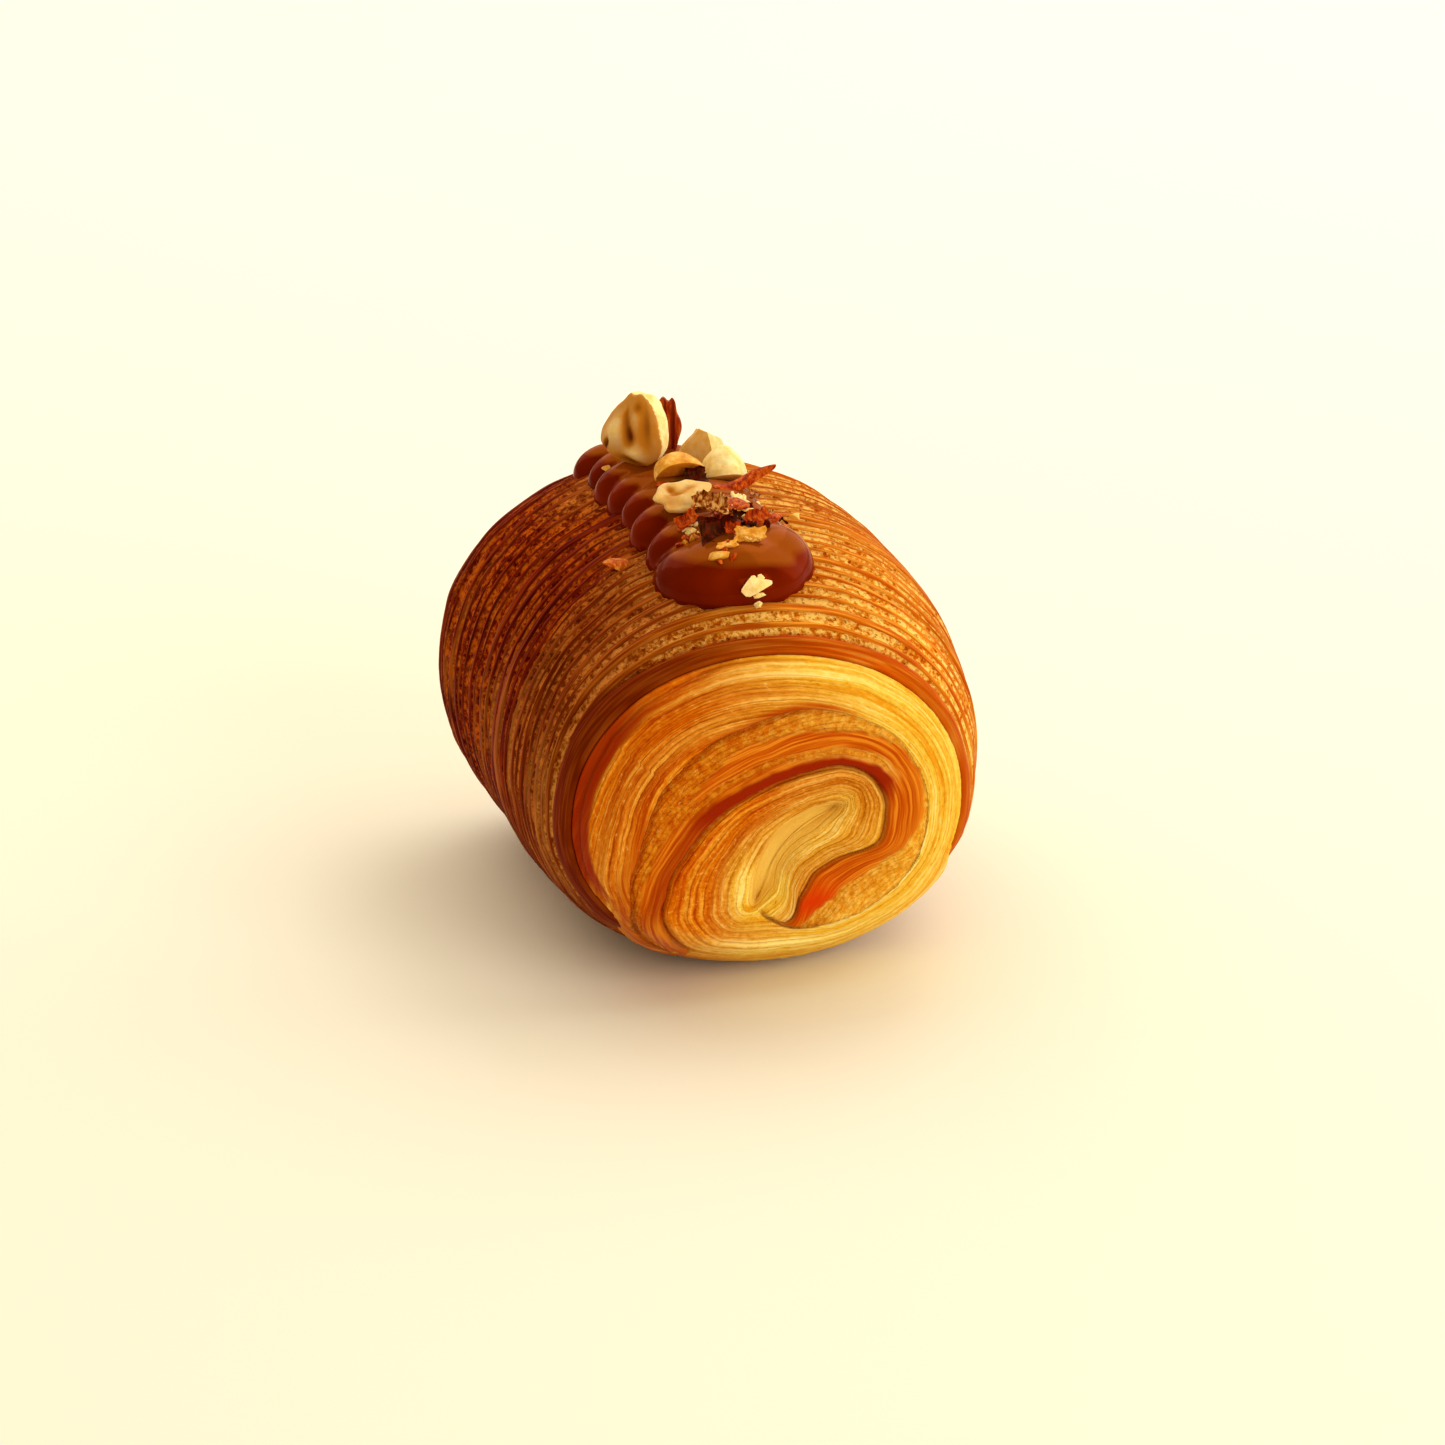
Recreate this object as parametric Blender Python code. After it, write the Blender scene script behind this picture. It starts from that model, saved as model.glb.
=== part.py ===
"""A laminated croissant roll, topped with piped hazelnut ganache and pieces of nut.

Metres, +Z up. The roll lies along Y on its flattened base, the spiral end that is seen first faces -Y,
and the origin is on the base, under the middle of the roll. Sizes below are in millimetres.
"""
import math
import random

import bmesh
import bpy
import numpy as np
from mathutils import Euler, Vector

MM = 0.001

# The roll
HALF_WIDTH = 44.5
HEIGHT = 76.8
HALF_LENGTH = 51.5
WAIST = 0.445 * HEIGHT          # height of the widest line
SECTION_POWER = 2.11            # 2 is an ellipse, more is squarer
BASE_SAG = 1.144                # the lower half before its base is flattened
TILT = math.radians(-4.9)       # the section leans towards -X
BEND = -4.8                     # the ends swing towards -X
FRONT_TAPER = (1.68, 8.0)       # powers of the end's rounding, along and across
BACK_TAPER = (4.6, 7.6)
CROWN_TAPER = 0.56              # the height falls faster than the width
MIDDLE = (0.85, 0.0)            # X and Y of the middle of the roll's box

# The baked layers along the roll
FRONT_RING = -44.6              # where the brown skin ends and the cut spiral begins
BACK_RING = 47.4
RIDGES = 30
RIDGE_HEIGHT = 1.3
RIDGE_WANDER = 0.9
COLUMNS = 46

# The spiral ends
CORE_REACH = 10.6               # half length of the slit in the middle of the spiral
CORE_GAP = 0.9
CORE_BEND = 3.9                 # how far the slit bows towards the crown
CORE_LEAN = math.radians(48.8)
CORE_PLACE = (2.0, 27.3)
FACE_ROUNDING = 6.5
# Distance from the core to the rim, from 0 to 1, and how far the surface stands out there
FACE_LINES = (
    (0.0, -3.2), (0.05, -1.9), (0.11, -0.6), (0.2, 0.1), (0.3, 0.5), (0.375, 0.6), (0.4, -0.9),
    (0.435, 0.2), (0.48, 0.8), (0.55, 0.5), (0.575, -0.4), (0.63, 0.2), (0.675, 0.3), (0.695, -0.8),
    (0.73, 0.1), (0.82, 0.3), (0.91, 0.1), (0.965, -0.9), (1.0, 0.5),
)
INNER_TURN = 0.4
OUTER_TURN = 0.68

# The piped ganache
CLEARANCE = 0.35                # gap between pieces that touch
SHELL_STEP = 8.5
SHELL_BACK = 35.0
SHELLS = 7
SHELL_RADII = (13.4, 6.0, 7.4)
ICING_SINK = 2.4                # how far the shells' middles lie under the crust
SHELL_FACETS = (14, 9)

random.seed(7)


def clear_scene():
    for thing in list(bpy.data.objects):
        bpy.data.objects.remove(thing, do_unlink=True)


def finish_material(name, colour, roughness):
    material = bpy.data.materials.new(name)
    material.use_nodes = True
    shader = material.node_tree.nodes["Principled BSDF"]
    shader.inputs["Base Color"].default_value = (*colour, 1.0)
    shader.inputs["Roughness"].default_value = roughness
    shader.inputs["Metallic"].default_value = 0.0
    return material


def make_object(name, mesh_builder, material):
    """An object whose mesh is taken from a bmesh in millimetres."""
    bmesh.ops.scale(mesh_builder, vec=(MM, MM, MM), verts=mesh_builder.verts)
    bmesh.ops.recalc_face_normals(mesh_builder, faces=mesh_builder.faces)
    mesh = bpy.data.meshes.new(name)
    mesh_builder.to_mesh(mesh)
    mesh_builder.free()
    mesh.shade_smooth()
    mesh.set_sharp_from_angle(angle=math.radians(35))
    thing = bpy.data.objects.new(name, mesh)
    bpy.context.collection.objects.link(thing)
    thing.data.materials.append(material)
    return thing


# ---------------------------------------------------------------- the roll's surface

def power(value, exponent):
    return np.sign(value) * np.abs(value) ** exponent


def section(along, around):
    """Points of the smooth roll: along runs from -1 to 1, around is the angle from +X."""
    p = np.where(along < 0, FRONT_TAPER[0], BACK_TAPER[0])
    q = np.where(along < 0, FRONT_TAPER[1], BACK_TAPER[1])
    left = np.clip(1 - np.abs(along) ** p, 0, 1)
    wide = HALF_WIDTH * left ** (1 / q)
    tall = left ** (1 / (q * CROWN_TAPER))
    across = wide * power(np.cos(around), 2 / SECTION_POWER)
    rise = power(np.sin(around), 2 / SECTION_POWER)
    rise = tall * np.where(rise > 0, (HEIGHT - WAIST) * rise, WAIST * BASE_SAG * rise)
    x = across * math.cos(TILT) - rise * math.sin(TILT) + BEND * (along ** 2 - 0.3)
    z = across * math.sin(TILT) + rise * math.cos(TILT) + WAIST
    return np.stack([x, along * HALF_LENGTH, z], -1)


def dip(around, middle, width):
    """1 at the middle angle, falling smoothly to 0, with both angles in degrees."""
    turn = (np.degrees(around) - middle + 180) % 360 - 180
    return np.exp(-(turn / width) ** 2)


def turn_line(level, around):
    """Moves an even level of the spiral end to where the turns of dough run."""
    outer = OUTER_TURN - 0.05 * dip(around, 148, 30) + 0.06 * dip(around, 330, 35)
    outer = outer + 0.28 * dip(around, 245, 22)
    inner = INNER_TURN - 0.11 * dip(around, 115, 50) + 0.06 * dip(around, 352, 20)
    inner = inner + 0.5 * dip(around, 250, 30)
    inner = np.minimum(inner - 0.14 * dip(around, 310, 18), outer - 0.09)
    low = level / INNER_TURN * inner
    mid = inner + (level - INNER_TURN) / (OUTER_TURN - INNER_TURN) * (outer - inner)
    top = outer + (level - OUTER_TURN) / (1 - OUTER_TURN) * (1 - outer)
    return np.where(level < INNER_TURN, low, np.where(level < OUTER_TURN, mid, top))


def end_face(level, around, ring):
    """Points of a smooth spiral end, from its slit, level 0, to the ring, level 1."""
    end = math.copysign(1.0, ring)
    reach = ring / HALF_LENGTH
    rim = section(np.full_like(around, reach), around)
    swing = around - CORE_LEAN
    long_way = CORE_REACH * np.cos(swing)
    short_way = CORE_GAP * np.sin(swing) + CORE_BEND * np.sin(swing) ** 2
    core_x = CORE_PLACE[0] + long_way * math.cos(CORE_LEAN) - short_way * math.sin(CORE_LEAN)
    core_z = CORE_PLACE[1] + long_way * math.sin(CORE_LEAN) + short_way * math.cos(CORE_LEAN)
    line = turn_line(level, around)
    p = FRONT_TAPER[0] if end < 0 else BACK_TAPER[0]
    left = (1 - abs(reach) ** p) * line ** FACE_ROUNDING
    y = end * HALF_LENGTH * (1 - left) ** (1 / p)
    return np.stack([core_x + (rim[..., 0] - core_x) * line, y, core_z + (rim[..., 2] - core_z) * line], -1)


def ridge_rows():
    """Y and relief of each row between the rings: a valley and a crest for each baked ridge."""
    widths = [random.uniform(0.65, 1.4) for _ in range(RIDGES)]
    scale = (BACK_RING - FRONT_RING) / sum(widths)
    rows, y = [], FRONT_RING
    for width in widths:
        tall = RIDGE_HEIGHT * random.uniform(0.6, 1.2)
        rows += [(y + 0.12 * width * scale, -0.5 * tall), (y + 0.62 * width * scale, 0.5 * tall)]
        y += width * scale
    return rows


def roll_grid():
    """Smooth points and relief, one row for each line round the roll, from front to back."""
    around = np.arange(COLUMNS) * 2 * math.pi / COLUMNS
    points, relief = [], []
    for level, out in FACE_LINES:
        points.append(end_face(np.full(COLUMNS, level), around, FRONT_RING))
        relief.append(np.full(COLUMNS, out))
    for y, out in ridge_rows():
        inside = min(y - FRONT_RING, BACK_RING - y) / 12
        wander = RIDGE_WANDER * min(1.0, inside) * np.sin(2 * around + 0.07 * y)
        points.append(section((y + wander) / HALF_LENGTH, around))
        relief.append(out * (0.75 + 0.25 * np.sin(3 * around + 1.7 * y)))
    for level, out in reversed(FACE_LINES):
        points.append(end_face(np.full(COLUMNS, level), around, BACK_RING))
        relief.append(np.full(COLUMNS, out))
    return np.array(points), np.array(relief)


def outward(points):
    """Unit normals of a grid of points that runs round the roll and from front to back."""
    round_way = np.roll(points, -1, 1) - np.roll(points, 1, 1)
    long_way = np.gradient(points, axis=0)
    normals = np.cross(round_way, long_way)
    normals /= -np.linalg.norm(normals, axis=2, keepdims=True) - 1e-9
    flat = np.abs(normals[..., 1]) > 0.95
    normals[flat] = (0, 1, 0)
    normals[flat] *= np.sign(points[flat][:, 1:2])
    return normals


def roll_mesh(points):
    """A closed mesh over the rows of points, with its base pressed flat."""
    points = points - np.array([*MIDDLE, 0.0])
    points[..., 2] = np.maximum(points[..., 2], 0.0)
    shape = bmesh.new()
    rows = [[shape.verts.new(point) for point in row] for row in points]
    for row, after in zip(rows, rows[1:]):
        for i in range(COLUMNS):
            j = (i + 1) % COLUMNS
            shape.faces.new((row[i], row[j], after[j], after[i]))
    for row, deep in ((rows[0], 0.6), (rows[-1], -0.6)):
        middle = sum((vert.co for vert in row), Vector()) / COLUMNS
        pole = shape.verts.new(middle + Vector((0, deep, 0)))
        for i in range(COLUMNS):
            shape.faces.new((row[i], row[(i + 1) % COLUMNS], pole))
    bmesh.ops.triangulate(shape, faces=shape.faces)
    return shape


def crust_height(x, y):
    """Height of the smooth roll over a point of its own frame, near its top."""
    around = np.linspace(0.2, math.pi - 0.2, 200)
    line = section(np.full(200, (y + MIDDLE[1]) / HALF_LENGTH), around)
    return float(np.interp(x + MIDDLE[0], line[::-1, 0], line[::-1, 2]))


# ---------------------------------------------------------------- ganache

def shell_list():
    """Middle, radii and turn of each piped shell, from the back to the big one at the front."""
    shells = []
    for i in range(SHELLS):
        y = SHELL_BACK - i * SHELL_STEP
        x = -7.2 + 0.55 * i + 0.5 * math.sin(2.1 * i)
        grow = 0.88 + 0.03 * i
        radii = [radius * grow for radius in SHELL_RADII]
        shells.append(((x, y), radii, math.radians(6 * math.sin(1.3 * i))))
    shells.append(((-3.8, -25.5), (14.0, 10.5, 9.0), math.radians(4)))
    shells.append(((3.2, -23.0), (8.5, 9.0, 8.8), math.radians(-20)))
    shells.append(((-10.8, -25.0), (7.5, 8.5, 7.6), math.radians(25)))
    return shells


def shell_middle(place):
    return Vector((place[0], place[1], crust_height(*place) - ICING_SINK))


def icing_height(x, y):
    """Height of the ganache over a point, or of the crust where there is none."""
    best = crust_height(x, y)
    for place, radii, turn in shell_list():
        dx, dy = x - place[0], y - place[1]
        u = (dx * math.cos(turn) + dy * math.sin(turn)) / radii[0]
        v = (dy * math.cos(turn) - dx * math.sin(turn)) / radii[1]
        if u * u + v * v < 1:
            rise = radii[2] * math.sqrt(1 - u * u - v * v)
            best = max(best, shell_middle(place).z + rise)
    return best


def make_shell(place, radii, turn, blunt):
    """One shell of ganache, with rounder ends than an egg's where it is blunt."""
    shape = bmesh.new()
    bmesh.ops.create_uvsphere(shape, u_segments=SHELL_FACETS[0], v_segments=SHELL_FACETS[1], radius=1)
    bmesh.ops.rotate(shape, verts=shape.verts, matrix=Euler((0, math.pi / 2, 0)).to_matrix())
    if blunt:
        for vert in shape.verts:
            vert.co.yz = vert.co.yz * math.sqrt((1 - abs(vert.co.x) ** 3) / (1 - vert.co.x ** 2 + 1e-6))
    bmesh.ops.scale(shape, vec=radii, verts=shape.verts)
    bmesh.ops.rotate(shape, verts=shape.verts, matrix=Euler((0, 0, turn)).to_matrix())
    bmesh.ops.translate(shape, verts=shape.verts, vec=shell_middle(place))
    return shape


def make_chip(x, y, size, turn, sink=0.5):
    """A small broken bit of nut, set a little into what it lies on."""
    shape = bmesh.new()
    bmesh.ops.create_icosphere(shape, subdivisions=1, radius=0.5)
    for vert in shape.verts:
        vert.co *= random.uniform(0.75, 1.15)
    bmesh.ops.scale(shape, vec=size, verts=shape.verts)
    tip = (random.uniform(-0.3, 0.3), random.uniform(-0.3, 0.3), math.radians(turn))
    bmesh.ops.rotate(shape, verts=shape.verts, matrix=Euler(tip).to_matrix())
    lift = icing_height(x, y) + size[2] * (0.5 - sink)
    bmesh.ops.translate(shape, verts=shape.verts, vec=(x, y, lift))
    return shape


# X, Y, size and turn of the bits that are fused to the ganache
CHIPS = (
    (-5.2, -20.1, (6.5, 5.0, 1.6), 20), (-0.9, -27.4, (5.2, 3.0, 2.0), 15),
    (-5.5, -29.3, (4.4, 1.6, 1.3), 15), (-8.2, -31.2, (5.6, 2.4, 1.6), -44),
    (-9.6, -17.4, (4.6, 2.0, 1.4), 20), (-10.2, -19.6, (2.2, 2.2, 1.8), 80),
    (-12.2, -21.4, (3.2, 2.0, 1.3), 30), (4.8, -17.1, (5.5, 3.0, 1.4), 20),
    (1.7, -15.5, (3.2, 2.4, 1.8), 50), (7.4, -18.5, (3.2, 1.6, 1.4), 70),
    (-14.7, 23.5, (2.6, 2.0, 1.4), 0), (5.8, -4.6, (3.0, 2.4, 1.8), 25),
    (-2.5, -35.2, (5.0, 3.2, 3.4), 5), (-2.8, 4.4, (4.0, 2.4, 1.8), 60),
)
# The same for the two that are stuck to the crust
CRUST_CHIPS = ((-21.4, -12.6, (6.6, 3.4, 2.0), 0), (13.2, -5.6, (3.2, 2.2, 1.6), 10))


def join(main, extras, operation):
    """One exact Boolean of a collection with an object, applied."""
    group = bpy.data.collections.new("tools")
    bpy.context.scene.collection.children.link(group)
    for extra in extras:
        bpy.context.collection.objects.unlink(extra)
        group.objects.link(extra)
        extra.hide_render = True
        extra.display_type = "WIRE"
    change = main.modifiers.new("join", "BOOLEAN")
    change.operation = operation
    change.operand_type = "COLLECTION"
    change.collection = group
    bpy.context.view_layer.update()
    mesh = bpy.data.meshes.new_from_object(main.evaluated_get(bpy.context.evaluated_depsgraph_get()))
    main.modifiers.remove(change)
    main.data = mesh
    for extra in extras:
        bpy.data.objects.remove(extra, do_unlink=True)
    bpy.data.collections.remove(group)


def make_roll():
    material = finish_material("baked crust", (0.42, 0.15, 0.03), 0.45)
    points, relief = roll_grid()
    shape = roll_mesh(points + outward(points) * relief[..., None])
    roll = make_object("pastry", shape, material)
    join(roll, [make_object("flake", make_chip(*chip), material) for chip in CRUST_CHIPS], "UNION")


def drop_scraps(thing):
    """Keeps the largest body of an object's mesh."""
    shape = bmesh.new()
    shape.from_mesh(thing.data)
    left, bodies = set(shape.verts), []
    while left:
        body, edge = set(), {left.pop()}
        while edge:
            body |= edge
            edge = {link.other_vert(vert) for vert in edge for link in vert.link_edges} - body
        left -= body
        bodies.append(body)
    keep = max(bodies, key=len)
    bmesh.ops.delete(shape, geom=[vert for vert in shape.verts if vert not in keep], context="VERTS")
    shape.to_mesh(thing.data)
    shape.free()


def make_ganache():
    material = finish_material("hazelnut ganache", (0.12, 0.035, 0.01), 0.18)
    pieces = [make_object("shell", make_shell(*shell, i < SHELLS), material)
              for i, shell in enumerate(shell_list())]
    pieces += [make_object("chip", make_chip(*chip), material) for chip in CHIPS]
    ganache, extras = pieces[0], pieces[1:]
    ganache.name = "ganache"
    join(ganache, extras, "UNION")
    return ganache


def make_icing_cutter(material):
    """The smooth roll, just over its highest ridges, which shapes the underside of the ganache."""
    around = np.arange(COLUMNS) * 2 * math.pi / COLUMNS
    grid = np.array([section(np.full(COLUMNS, a), around) for a in np.linspace(-0.9, 0.9, 31)])
    lift = 0.6 * RIDGE_HEIGHT + CLEARANCE
    return make_object("cutter", roll_mesh(grid + outward(grid) * lift), material)


# ---------------------------------------------------------------- nuts

# The deeper folds in the face of the half nut that shows its face
BACK_FOLDS = (
    (-0.08, -0.1, 0.14, 0.3, 0.8), (0.48, 0.08, 0.2, 0.42, 0.9), (-0.52, -0.15, 0.26, 0.4, -1.1),
    (0.2, -0.62, 0.24, 0.22, -0.8),
)
# Which way each face of the broken lump looks, in X, Y and Z, and how far out it is
CHUNK_CUTS = (
    (-0.6, -0.75, 0.25, 0.5), (0.8, -0.5, 0.35, 0.6), (0.45, 0.2, 0.85, 0.72), (-0.75, 0.2, 0.65, 0.7),
    (0.2, 0.9, 0.1, 0.6), (0.0, 0.0, -1.0, 0.7),
)


def half_nut(long, wide, deep, taper, top, folds=()):
    """Half a hazelnut, standing on end and broken off at its top: round at the back, its split face to -Y.

    Each fold of its face is a place across and up, its two sizes, and its depth in millimetres."""
    shape = bmesh.new()
    bmesh.ops.create_uvsphere(shape, u_segments=18, v_segments=12, radius=1)
    for vert in shape.verts:
        x, y, z = vert.co
        sunk = 0.0
        if y < 0:
            y = 0.14 * y
            for across, up, side, rise, deep_in in folds:
                sunk += deep_in * math.exp(-((x - across) / side) ** 2 - ((z - up) / rise) ** 2)
        z = min(z, top + 0.04 * math.sin(7 * x))
        vert.co = (x * wide / 2 * (1 - taper * z), y * deep + sunk, z * long / 2)
    return shape


def nut_slice(long, wide, thick, broken):
    """A thin flat slice with an uneven edge, lying in XY, broken off straight at a share of its length."""
    shape = bmesh.new()
    bmesh.ops.create_uvsphere(shape, u_segments=18, v_segments=6, radius=1)
    for vert in shape.verts:
        angle = math.atan2(vert.co.y, vert.co.x)
        edge = 1 + 0.1 * math.sin(3 * angle + 1) + 0.06 * math.sin(7 * angle)
        x, y = vert.co.x * edge, vert.co.y * edge
        x = min(x, broken + 0.06 * math.sin(9 * y))
        vert.co = (x * long / 2, y * wide / 2, power(vert.co.z, 0.6) * thick / 2)
    return shape


def nut_chunk(size):
    """A broken lump of nut: a rough ball with flat faces split off it."""
    shape = bmesh.new()
    bmesh.ops.create_icosphere(shape, subdivisions=3, radius=1)
    for x, y, z, reach in CHUNK_CUTS:
        way = Vector((x, y, z)).normalized()
        for vert in shape.verts:
            over = vert.co.dot(way) - reach
            if over > 0:
                vert.co -= way * over
    bmesh.ops.scale(shape, vec=[side / 2 for side in size], verts=shape.verts)
    return shape


def skin_strip(long, wide, thick, curl):
    """A long curled sliver that tapers to a point at both ends, along X."""
    shape = bmesh.new()
    bmesh.ops.create_uvsphere(shape, u_segments=8, v_segments=12, radius=1)
    bmesh.ops.rotate(shape, verts=shape.verts, matrix=Euler((0, math.pi / 2, 0)).to_matrix())
    for vert in shape.verts:
        x, y, z = vert.co
        vert.co = (x * long / 2, y * wide / 2 + 0.12 * wide * math.sin(4 * x), z * thick / 2 + curl * x * x)
    return shape


# name, shape, where its middle is, and its turn about X, Y and Z in degrees
def nut_list():
    pale, gold, skin = (0.72, 0.5, 0.24), (0.7, 0.4, 0.1), (0.22, 0.04, 0.015)
    back = half_nut(14.6, 11.9, 8.2, 0.5, 0.86, BACK_FOLDS)
    return (
        ("hazelnut_half_back", back, (-11.3, 17.4, 87.3), (-6, 8, -46), pale),
        ("almond_sliver", nut_slice(12.6, 5.4, 2.0, 0.78), (-2.8, 26.6, 84.2), (0, -84, 72), skin),
        ("hazelnut_chunk", nut_chunk((9.4, 8.0, 9.4)), (1.8, 17.0, 81.8), (0, 0, 0), pale),
        ("hazelnut_half_right", half_nut(9.0, 8.6, 6.2, 0.15, 1.1), (3.0, 5.6, 79.6), (62, 12, 14), gold),
        ("hazelnut_half_left", half_nut(9.8, 6.4, 4.4, 0.2, 1.1), (-6.4, 2.6, 82.6), (90, 55, 102), gold),
        ("hazelnut_slice", nut_slice(11.4, 6.6, 1.8, 1.2), (-9.0, -9.8, 82.6), (34, -4, 18), pale),
        ("skin_shard", skin_strip(12.6, 2.6, 1.1, 1.6), (5.2, -0.4, 81.0), (30, -14, 7), skin),
        ("skin_flake", skin_strip(9.6, 4.0, 1.1, 0.8), (-2.4, -14.0, 81.8), (14, 6, -30), skin),
    )


def make_nuts(grow=0.0):
    """The pieces of nut, each made larger all round by grow where it serves to cut the ganache."""
    nuts = []
    for name, shape, place, turn, colour in nut_list():
        if grow:
            bmesh.ops.recalc_face_normals(shape, faces=shape.faces)
            shape.normal_update()
            moves = [vert.normal * grow * vert.calc_shell_factor() for vert in shape.verts]
            for vert, move in zip(shape.verts, moves):
                vert.co += move
        nut = make_object(name, shape, finish_material(name + " finish", colour, 0.5))
        nut.rotation_euler = [math.radians(angle) for angle in turn]
        nut.location = [side * MM for side in place]
        nuts.append(nut)
    return nuts


def build():
    clear_scene()
    make_roll()
    ganache = make_ganache()
    cutters = make_nuts(CLEARANCE)
    join(ganache, [make_icing_cutter(ganache.data.materials[0]), *cutters], "DIFFERENCE")
    drop_scraps(ganache)
    make_nuts()


build()
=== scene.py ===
"""A croissant roll with piped hazelnut ganache and broken nuts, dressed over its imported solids."""
import itertools
import math
import random

import bmesh
import bpy
import numpy as np
from mathutils import Euler, Matrix, Vector


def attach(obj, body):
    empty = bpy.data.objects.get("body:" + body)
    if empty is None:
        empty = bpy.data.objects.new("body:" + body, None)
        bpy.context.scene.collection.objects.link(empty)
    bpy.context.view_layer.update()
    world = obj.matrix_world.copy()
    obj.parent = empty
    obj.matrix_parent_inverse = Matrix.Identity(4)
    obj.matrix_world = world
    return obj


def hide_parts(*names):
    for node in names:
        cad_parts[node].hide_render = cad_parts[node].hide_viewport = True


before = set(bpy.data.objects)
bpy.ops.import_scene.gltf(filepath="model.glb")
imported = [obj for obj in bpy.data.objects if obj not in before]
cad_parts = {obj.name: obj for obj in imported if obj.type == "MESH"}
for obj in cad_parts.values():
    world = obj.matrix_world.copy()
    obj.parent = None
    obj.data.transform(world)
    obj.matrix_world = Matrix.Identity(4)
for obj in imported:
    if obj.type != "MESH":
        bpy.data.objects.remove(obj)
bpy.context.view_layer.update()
scene = bpy.context.scene
scene.view_settings.view_transform = "Standard"
MM = 0.001

# ---------- the baked crust
# The brown skin of a laminated croissant roll. Rolled dough leaves ridges that run round it: smooth
# dark strips, which the oven's heat reached first, and paler crumbly ones full of pits between them.

HALF_WIDTH, HEIGHT, HALF_LENGTH = 44.5, 76.8, 51.5
WAIST = 0.445 * HEIGHT
SECTION_POWER, BASE_SAG, BEND = 2.11, 1.144, -4.8
TILT = math.radians(-4.9)
FRONT_TAPER, BACK_TAPER, CROWN_TAPER = (1.68, 8.0), (4.6, 7.6), 0.56
MIDDLE = np.array([0.85, 0.0, 0.0])
FRONT_RING, BACK_RING = -44.6, 47.4
RIDGES, RIDGE_HEIGHT, RIDGE_WANDER = 30, 1.3, 0.9


def power(value, exponent):
    return np.sign(value) * np.abs(value) ** exponent


def section(along, around):
    """Points of the smooth roll: along runs from -1 to 1, around is the angle from +X."""
    p = np.where(along < 0, FRONT_TAPER[0], BACK_TAPER[0])
    q = np.where(along < 0, FRONT_TAPER[1], BACK_TAPER[1])
    left = np.clip(1 - np.abs(along) ** p, 0, 1)
    wide = HALF_WIDTH * left ** (1 / q)
    tall = left ** (1 / (q * CROWN_TAPER))
    across = wide * power(np.cos(around), 2 / SECTION_POWER)
    rise = power(np.sin(around), 2 / SECTION_POWER)
    rise = tall * np.where(rise > 0, (HEIGHT - WAIST) * rise, WAIST * BASE_SAG * rise)
    x = across * math.cos(TILT) - rise * math.sin(TILT) + BEND * (along ** 2 - 0.3)
    z = across * math.sin(TILT) + rise * math.cos(TILT) + WAIST
    return np.stack([x, along * HALF_LENGTH, z], -1)


def rumple(points, size, seed=0):
    """Smooth random heights from -1 to 1 at points in millimetres, about one hump to each size."""
    cell = np.asarray(points, float) / np.asarray(size, float) + 4096.0
    low = np.floor(cell).astype(np.int64)
    part = cell - low
    part = part * part * (3 - 2 * part)
    total = np.zeros(cell.shape[:-1])
    for corner in itertools.product((0, 1), repeat=3):
        x, y, z = np.moveaxis(low + corner, -1, 0)
        key = x * 73856093 ^ y * 19349663 ^ z * 83492791 ^ (seed + 17) * 2654435761
        key = (key ^ key >> 13) * 1274126177 & 0xFFFFFFFF
        value = ((key ^ key >> 16) & 0xFFFF) / 32767.5 - 1
        total += value * np.prod(np.where(corner, part, 1 - part), axis=-1)
    return total


def step(value, start, end):
    """0 before start, 1 after end, and a smooth rise between them."""
    part = np.clip((value - start) / (end - start), 0, 1)
    return part * part * (3 - 2 * part)


def bell(value, width):
    """1 where the value is 0, and a smooth fall to 0 on both sides of it."""
    return np.exp(-(value / width) ** 2)


def ringed_skin(columns, rings):
    """A closed tube with a pole at each end, and which ring and column each of its points is on.

    Ring 0 is at the front. The two poles have the rings -1 and -2."""
    skin = bmesh.new()
    bmesh.ops.create_cone(skin, cap_ends=True, cap_tris=True, segments=columns, radius1=1, radius2=1, depth=2)
    sides = [edge for edge in skin.edges if abs(edge.verts[0].co.z - edge.verts[1].co.z) > 1]
    bmesh.ops.subdivide_edges(skin, edges=sides, cuts=rings - 2, use_grid_fill=True)
    place = np.array([vert.co for vert in skin.verts])
    ring = np.rint((1 - place[:, 2]) / 2 * (rings - 1)).astype(int)
    column = np.rint(np.arctan2(place[:, 1], place[:, 0]) * columns / (2 * math.pi)).astype(int) % columns
    pole = np.hypot(place[:, 0], place[:, 1]) < 0.5
    ring[pole] = np.where(place[pole, 2] > 0, -1, -2)
    return skin, ring, column


def outward(points):
    """Unit normals of a grid of points that runs round the roll and from front to back."""
    round_way = np.roll(points, -1, 1) - np.roll(points, 1, 1)
    normals = -np.cross(round_way, np.gradient(points, axis=0))
    normals /= np.linalg.norm(normals, axis=2, keepdims=True) + 1e-9
    return normals


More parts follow.
